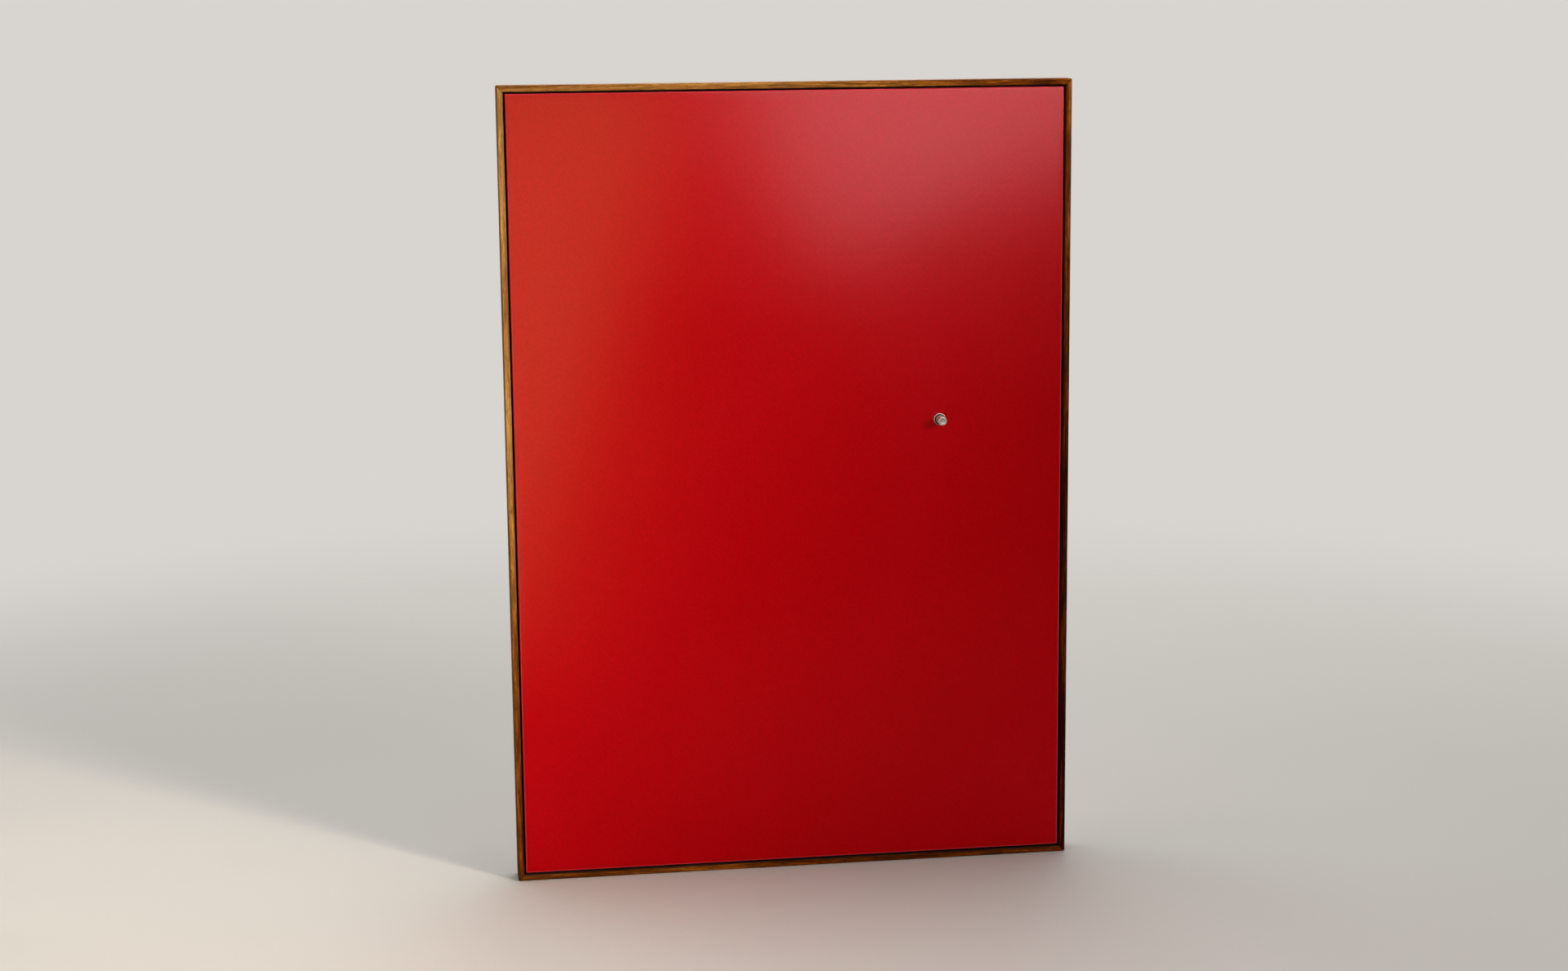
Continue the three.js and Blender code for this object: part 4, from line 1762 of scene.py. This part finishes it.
@cache
def ring_tree() -> bpy.types.NodeTree:
    """Build the tree that bends wire into a D, whose bow is almost a half circle.

    Returns:
        A geometry tree with named sizes.
    """
    inputs = {name: FLOAT for name in ("Wire", "Width", "Height", "Corner Radius")}
    inputs |= {"Steps": INTEGER, "Sides": INTEGER, "Eye": VECTOR, "Finish": MATERIAL}
    graph, entry, leave = new_tree("d_ring", "GeometryNodeTree", inputs, {"Ring": GEOMETRY})
    size = entry.outputs
    outline = {"Width": size["Width"], "Height": size["Height"]}
    square = graph.node("GeometryNodeCurvePrimitiveQuadrilateral", outline, mode="RECTANGLE").outputs[0]
    place = graph.node("GeometryNodeInputPosition").outputs[0]
    upper = graph.math("GREATER_THAN", graph.node("ShaderNodeSeparateXYZ", {0: place}).outputs["Y"], 0.0)
    bow = graph.math("MULTIPLY", size["Width"], BOW_SHARE)
    tighter = graph.math("SUBTRACT", size["Corner Radius"], bow)
    radius = graph.math("MULTIPLY_ADD", upper, tighter, bow)
    rounding = {"Curve": square, "Count": size["Steps"], "Radius": radius}
    rounded = graph.node("GeometryNodeFilletCurve", rounding, mode="POLY").outputs[0]
    section = {"Resolution": size["Sides"], "Radius": graph.math("MULTIPLY", size["Wire"], 0.5)}
    circle = graph.node("GeometryNodeCurvePrimitiveCircle", section).outputs[0]
    swept = graph.node("GeometryNodeCurveToMesh", {"Curve": rounded, "Profile Curve": circle}).outputs[0]
    hang = graph.combine(0.0, 0.0, graph.math("MULTIPLY", size["Height"], -0.5))
    shift = graph.vector_math("ADD", size["Eye"], hang).outputs["Vector"]
    stood = {"Geometry": swept, "Translation": shift, "Rotation": (QUARTER, 0.0, 0.0)}
    end_tree(graph, entry, leave, graph.node("GeometryNodeTransform", stood).outputs[0])
    return graph.tree


@dataclass
class Hanger:
    """A doubled strap whose fold is the eye of a swinging D-ring."""

    side: Side
    screws: ScrewSet
    wire: float = 2 * MM
    corner_radius: float = 2 * MM
    sheet: float = 0.8 * MM
    ply_gap: float = 0.02 * MM
    tail_bend: float = 0.9 * MM
    fit: float = 0.3 * MM
    tip_share: float = 0.02
    end_steps: int = 12
    eye_steps: int = 28
    ring_steps: int = 14
    wire_sides: int = 20
    strap_node: str = field(init=False)
    ring_node: str = field(init=False)
    low: Vector = field(init=False)
    high: Vector = field(init=False)
    eye: Vector = field(init=False)

    def __post_init__(self) -> None:
        """Name this side's solids, and read the strap's box and the middle of its eye."""
        self.strap_node = f"hanger_strap_{self.side.value}"
        self.ring_node = f"hanger_ring_{self.side.value}"
        self.low, self.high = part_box(self.strap_node)
        low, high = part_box(self.ring_node)
        self.eye = Vector(((low.x + high.x) / 2, (low.y + high.y) / 2, high.z - self.wire / 2))

    def build_ring(self) -> None:
        """Bend the ring and dress it."""
        low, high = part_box(self.ring_node)
        piece = points_object(f"ring_{self.side.value}", [])
        values = {
            "Wire": self.wire,
            "Width": high.x - low.x - self.wire,
            "Height": high.z - low.z - self.wire,
            "Corner Radius": self.corner_radius,
            "Steps": self.ring_steps,
            "Sides": self.wire_sides,
            "Eye": self.eye,
            "Finish": ZINC_PLATE.material(),
        }
        grow(piece, ring_tree(), values)
        smooth(piece)
        body = Body.RING_LEFT if self.side is Side.LEFT else Body.RING_RIGHT
        dress(piece, body, [self.ring_node])

    def ply(self, level: float, top: float) -> list[Pair]:
        """Lay one straight ply, with close steps in its round end.

        Args:
            level: Its level along Y.
            top: The height where it leaves the straight.

        Returns:
            Levels and heights, upwards.
        """
        radius = (self.high.x - self.low.x) / 2
        angles = [QUARTER * step / self.end_steps for step in range(self.end_steps + 1)]
        heights = [self.low.z + radius * (1 - math.cos(angle)) for angle in angles]
        return [(level, height) for height in (*heights, top)]

    def strap_path(self) -> list[Pair]:
        """Lay the middle of the sheet: up the ply on the frame, round the eye and down the other ply.

        Returns:
            Levels along Y and heights.
        """
        eye = self.eye
        half = self.sheet / 2
        loop = self.wire / 2 + self.fit + half
        inner_ply = self.low.y + half
        outer_ply = self.low.y + self.sheet + self.ply_gap + half
        knee = eye.z - loop - self.tail_bend
        rise = []
        for step in range(1, self.end_steps):
            share = step / self.end_steps
            ease = share * share * (3 - 2 * share)
            rise.append((inner_ply + (eye.y - loop - inner_ply) * ease, knee + (eye.z - knee) * share))
        tail = arc((outer_ply + self.tail_bend, knee), self.tail_bend, QUARTER, 2 * QUARTER, self.end_steps)
        return [
            *self.ply(inner_ply, knee),
            *rise,
            *arc((eye.y, eye.z), loop, 2 * QUARTER, -QUARTER, self.eye_steps),
            *tail[:-1],
            *reversed(self.ply(outer_ply, knee)),
        ]

    def strap_sections(self) -> list[list[Vector]]:
        """Draw the sheet's sections along its path, narrower in its round ends.

        Returns:
            The four corners of each section.
        """
        middle, radius = (self.low.x + self.high.x) / 2, (self.high.x - self.low.x) / 2
        path = self.strap_path()
        sections = []
        for index, (level, height) in enumerate(path):
            before, after = path[max(index - 1, 0)], path[min(index + 1, len(path) - 1)]
            way = Vector((after[0] - before[0], after[1] - before[1])).normalized()
            across = Vector((0.0, way.y, -way.x)) * self.sheet / 2
            rise = min(radius, max(height - self.low.z, self.tip_share * radius))
            side = Vector((math.sqrt(radius**2 - (radius - rise) ** 2), 0.0, 0.0))
            centre = Vector((middle, level, height))
            near, far = centre - across, centre + across
            sections.append([near - side, near + side, far + side, far - side])
        return sections

    def build_strap(self) -> None:
        """Fold the strap, cut its screw holes and dress it."""
        shape = bmesh.new()
        skin(shape, self.strap_sections())
        piece = solid(f"strap_{self.side.value}", shape, ZINC_PLATE.material())
        tools = bmesh.new()
        self.screws.holes(tools, self.low, self.high)
        carve(piece, tools)
        smooth(piece)
        dress(piece, Body.BOARD, [self.strap_node])

    def build(self) -> None:
        """Build the strap and the ring."""
        self.build_strap()
        self.build_ring()


# Bumpers


@cache
def bumper_tree(steps: int) -> bpy.types.NodeTree:
    """Build the tree that sets a round-edged bumper on each point.

    Args:
        steps: Chords in the round edge.

    Returns:
        A geometry tree with named sizes.
    """
    inputs = {"Places": GEOMETRY, "Diameter": FLOAT, "Height": FLOAT, "Round": FLOAT}
    inputs |= {"Sides": INTEGER, "Finish": MATERIAL}
    graph, entry, leave = new_tree("wall_bumpers", "GeometryNodeTree", inputs, {"Bumpers": GEOMETRY})
    size = entry.outputs
    radius = graph.math("MULTIPLY", size["Diameter"], 0.5)
    inside = graph.math("SUBTRACT", radius, size["Round"])
    below = graph.math("SUBTRACT", size["Height"], size["Round"])
    profile = [(0.0, 0.0), (radius, 0.0)]
    for step in range(steps + 1):
        angle = QUARTER * step / steps
        out = graph.math("MULTIPLY_ADD", size["Round"], math.cos(angle), inside)
        up = graph.math("MULTIPLY_ADD", size["Round"], math.sin(angle), below)
        profile.append((out, up))
    profile.append((0.0, size["Height"]))
    body = lathe_nodes(graph, profile, size["Sides"])
    set_on_places(graph, entry, leave, body, graph.rotation(-QUARTER, 0.0, 0.0))
    return graph.tree


@dataclass
class WallBumpers:
    """Rubber bumpers that hold the frame off the wall."""

    nodes: list[str]
    edge_round: float = 1.5 * MM
    round_steps: int = 6
    sides: int = 48

    def build(self) -> None:
        """Set the bumpers and dress them."""
        low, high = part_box(self.nodes[0])
        piece = points_object("rubber_bumpers", [middle_of(node, Face.FRONT) for node in self.nodes])
        values = {
            "Diameter": high.x - low.x,
            "Height": high.y - low.y,
            "Round": self.edge_round,
            "Sides": self.sides,
            "Finish": Rubber().material(),
        }
        grow(piece, bumper_tree(self.round_steps), values)
        smooth(piece)
        dress(piece, Body.BOARD, self.nodes)


# Pin


@dataclass
class MagnetPin:
    """A turned knob in a wider lip, with a dished end and a disc magnet in its base."""

    knob: float = 9.4 * MM
    knob_round: float = 0.6 * MM
    dish: float = 3.5 * MM
    dish_depth: float = 0.14 * MM
    groove: float = 1.0 * MM
    groove_depth: float = 1.3 * MM
    groove_round: float = 0.15 * MM
    lip_thickness: float = 1.8 * MM
    lip_round: float = 0.4 * MM
    fit: float = 0.3 * MM
    arc_steps: int = 8
    sides: int = 96
    light: Colour = srgb(0xE4E0D8)
    dark: Colour = srgb(0xD2CDC4)
    polish: Pair = (0.2, 0.28)
    metallic: float = 0.7

    def profile(self) -> list[Pair]:
        """Draw the knob from its end to the magnet's pocket.

        Returns:
            Radii and levels.
        """
        low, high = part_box("pin_knob")
        magnet_low, magnet_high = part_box("pin_magnet")
        height = high.y - low.y
        lip = (high.x - low.x) / 2
        knob = self.knob / 2
        pocket = (magnet_high.x - magnet_low.x) / 2 + self.fit
        depth = magnet_high.y - magnet_low.y
        floor = self.groove_depth - self.lip_thickness - self.groove / 2
        brim = knob + self.groove + self.groove_round
        brim_level = self.groove_round - self.lip_thickness
        lip_level = self.lip_round - self.lip_thickness
        steps = self.arc_steps
        shares = [step / steps for step in range(steps + 1)]
        return [
            *((self.dish * share, self.dish_depth * (1 - share**2) - height) for share in shares),
            *arc((knob - self.knob_round, self.knob_round - height), self.knob_round, -QUARTER, 0.0, steps),
            (knob, -self.lip_thickness - self.groove),
            *arc((knob + self.groove / 2, floor), self.groove / 2, 2 * QUARTER, 0.0, steps),
            *arc((brim, brim_level), self.groove_round, 2 * QUARTER, 3 * QUARTER, steps),
            *arc((lip - self.lip_round, lip_level), self.lip_round, -QUARTER, 0.0, steps),
            (lip, 0.0),
            (pocket, 0.0),
            (pocket, -depth),
            (0.0, -depth),
        ]

    def mark_groove(self, piece: bpy.types.Object, base: Vector) -> None:
        """Keep how deep each point lies in the groove round the knob, as the attribute grime, which darkens
        it with painted shade.

        Args:
            piece: The knob's object.
            base: The middle of its underside.
        """
        start = -self.lip_thickness - self.groove
        middle = (self.knob + self.groove) / 2
        reach = (self.groove + self.groove_round) / 2
        values = []
        for vertex in piece.data.vertices:
            out = vertex.co - base
            inside = abs(math.hypot(out.x, out.z) - middle) < reach
            depth = (out.y - start) / (self.groove + self.groove_depth)
            values.append(min(1.0, max(0.0, depth)) if inside else 0.0)
        keep_values(piece.data, "grime", values)

    def build(self) -> None:
        """Turn the knob and dress it and its magnet."""
        base = middle_of("pin_knob", Face.BACK)
        nickel = Metal(
            "turned_nickel",
            light=self.light,
            dark=self.dark,
            roughness=self.polish,
            metallic=self.metallic,
            lathe_axis=(base.x, base.z),
        )
        shape = bmesh.new()
        turn_body(shape, self.profile(), base, self.sides)
        piece = solid("nickel_knob", shape, nickel.material())
        # Mark the groove for its painted shade.
        self.mark_groove(piece, base)
        smooth(piece)
        dress(piece, Body.PIN, ["pin_knob"])
        cover("pin_magnet", nickel.material())


# Studio


@dataclass(frozen=True)
class SoftLamp:
    """A large soft lamp that faces a point."""

    name: str
    place: Point
    aim: Point
    size: Pair
    watts: float
    colour: tuple[float, float, float]
    spread: float = 180.0
    roll: float = 0.0
    mirrored: bool = True

    def build(self) -> None:
        """Hang the lamp."""
        light = bpy.data.lights.new(self.name, "AREA")
        light.shape = "RECTANGLE"
        light.size, light.size_y = self.size
        light.energy = self.watts
        light.color = self.colour
        light.spread = math.radians(self.spread)
        lamp = bpy.data.objects.new(self.name, light)
        bpy.context.scene.collection.objects.link(lamp)
        lamp.location = self.place
        lamp.rotation_mode = "QUATERNION"
        facing = (Vector(self.aim) - Vector(self.place)).to_track_quat("-Z", "Y")
        lamp.rotation_quaternion = facing @ Quaternion((0.0, 0.0, 1.0), math.radians(self.roll))
        lamp.visible_camera = False
        lamp.visible_glossy = self.mirrored


WHITE = (1.0, 1.0, 1.0)
LAMPS = (
    SoftLamp(
        "key_lamp",
        place=(1.7, -2.3, 1.5),
        aim=(-1.1, 0.0, 0.25),
        size=(0.6, 0.6),
        watts=5.6,
        colour=(1.0, 0.87, 0.74),
        spread=30.0,
    ),
    SoftLamp(
        "sheen_lamp",
        place=(0.92, -2.8, 1.03),
        aim=(0.2, 0.0, 0.8),
        size=(1.3, 0.8),
        watts=13.5,
        colour=(1.0, 0.93, 0.95),
        roll=24.0,
    ),
    SoftLamp(
        "corner_lamp",
        place=(1.3, -1.6, 1.7),
        aim=(0.18, 0.0, 1.04),
        size=(0.3, 0.3),
        watts=0.82,
        colour=(1.0, 0.95, 0.9),
        spread=24.0,
        mirrored=False,
    ),
    SoftLamp(
        "warm_lamp",
        place=(-0.3, -2.9, 0.27),
        aim=(-0.3, 0.0, 0.5),
        size=(0.6, 1.3),
        watts=7.0,
        colour=(1.0, 0.64, 0.28),
        roll=-18.0,
    ),
    SoftLamp(
        "fill_lamp",
        place=(2.3, -2.4, 1.2),
        aim=(0.1, 0.0, 0.3),
        size=(1.6, 1.6),
        watts=14.0,
        colour=(1.0, 0.93, 0.86),
        mirrored=False,
    ),
    SoftLamp(
        "top_lamp",
        place=(0.0, 0.5, 3.2),
        aim=(0.0, 0.3, 0.0),
        size=(2.4, 1.6),
        watts=27.0,
        colour=WHITE,
        spread=120.0,
    ),
    SoftLamp(
        "back_lamp",
        place=(0.6, 2.4, 1.5),
        aim=(0.0, 0.0, 0.4),
        size=(1.6, 1.2),
        watts=16.0,
        colour=WHITE,
    ),
)


@dataclass
class Studio:
    """A plain pale floor, soft lamps and the camera."""

    backdrop: Colour = srgb(0xD8D5D0)
    sky: Colour = (0.09, 0.09, 0.09, 1.0)
    dark_gloss: Colour = (0.004, 0.004, 0.004, 1.0)
    pale_gloss: Colour = (0.45, 0.44, 0.43, 1.0)
    pale_ways: tuple[tuple[str, float, float], ...] = (
        ("X", -0.08, -0.4),
        ("X", 0.4, 0.8),
        ("Y", -0.2, 0.3),
        ("Z", 0.08, 0.5),
    )
    floor_size: float = 40.0
    floor_drop: float = 0.2 * MM
    image_width: int = 1920
    focal_pixels: float = 3208.0
    sensor: float = 36.0
    eye: Point = (-0.4069, -2.7645, 0.9289)
    heading: float = 8.235
    pitch: float = -10.218
    roll: float = -0.553

    def build_floor(self) -> None:
        """Lay the floor."""
        half = self.floor_size / 2
        mesh = bpy.data.meshes.new("pale_floor")
        corners = [(-half, -half), (half, -half), (half, half), (-half, half)]
        mesh.from_pydata([(x, y, -self.floor_drop) for x, y in corners], [], [(0, 1, 2, 3)])
        mesh.materials.append(PaleFloor().material())
        floor = new_object("pale_floor", mesh)
        floor.visible_glossy = False

    def build_sky(self) -> None:
        """Light the room evenly and faintly, with pale and dark ways for what is mirrored."""
        world = bpy.data.worlds.new("pale_sky")
        world.use_nodes = True
        world.node_tree.nodes.clear()
        graph = Graph(world.node_tree)
        path = graph.node("ShaderNodeLightPath").outputs
        way = graph.node("ShaderNodeTexCoord").outputs["Generated"]
        split = graph.node("ShaderNodeSeparateXYZ", {0: way}).outputs
        pale = 0.0
        for axis, dark, light in self.pale_ways:
            pale = graph.math("MAXIMUM", pale, graph.span(split[axis], dark, light))
        gloss = graph.blend(pale, self.dark_gloss, self.pale_gloss)
        colour = graph.blend(path["Is Glossy Ray"], self.sky, gloss)
        colour = graph.blend(path["Is Camera Ray"], colour, self.backdrop)
        sky = graph.node("ShaderNodeBackground", {"Color": colour})
        graph.node("ShaderNodeOutputWorld", {"Surface": sky.outputs[0]})
        bpy.context.scene.world = world

    def build_camera(self) -> None:
        """Set the camera where the photograph was taken from."""
        data = bpy.data.cameras.new("camera")
        data.sensor_fit = "HORIZONTAL"
        data.sensor_width = self.sensor
        data.lens = self.focal_pixels / self.image_width * self.sensor
        camera = bpy.data.objects.new("camera", data)
        bpy.context.scene.collection.objects.link(camera)
        camera.matrix_world = (
            Matrix.Translation(self.eye)
            @ Matrix.Rotation(-math.radians(self.heading), 4, "Z")
            @ Matrix.Rotation(QUARTER + math.radians(self.pitch), 4, "X")
            @ Matrix.Rotation(math.radians(self.roll), 4, "Z")
        )
        bpy.context.scene.camera = camera

    def build(self) -> None:
        """Set up floor, light and camera."""
        bpy.context.scene.view_settings.view_transform = "Standard"
        self.build_floor()
        self.build_sky()
        for lamp in LAMPS:
            lamp.build()
        self.build_camera()


# Board


def main() -> None:
    """Set up the studio and build the board, sub-assembly by sub-assembly."""
    logging.basicConfig(level=logging.INFO, format="%(message)s")
    frame_screws = ScrewSet("frame_screws", nodes_named("frame_screw_"), shank=3.5 * MM, seed=11)
    hanger_screws = ScrewSet("hanger_screws", nodes_named("hanger_screw_"), shank=2.8 * MM, seed=23)
    nails = CornerNails(nodes_named("v_nail_"))
    Studio().build()
    SteelPanel().build()
    FloatingFrame(nails, [frame_screws, hanger_screws]).build()
    nails.build()
    frame_screws.build()
    BackBoard().build()
    for side in Side:
        Hanger(side, hanger_screws).build()
    hanger_screws.build()
    WallBumpers(nodes_named("wall_bumper_")).build()
    MagnetPin().build()


if __name__ == "__main__":
    main()
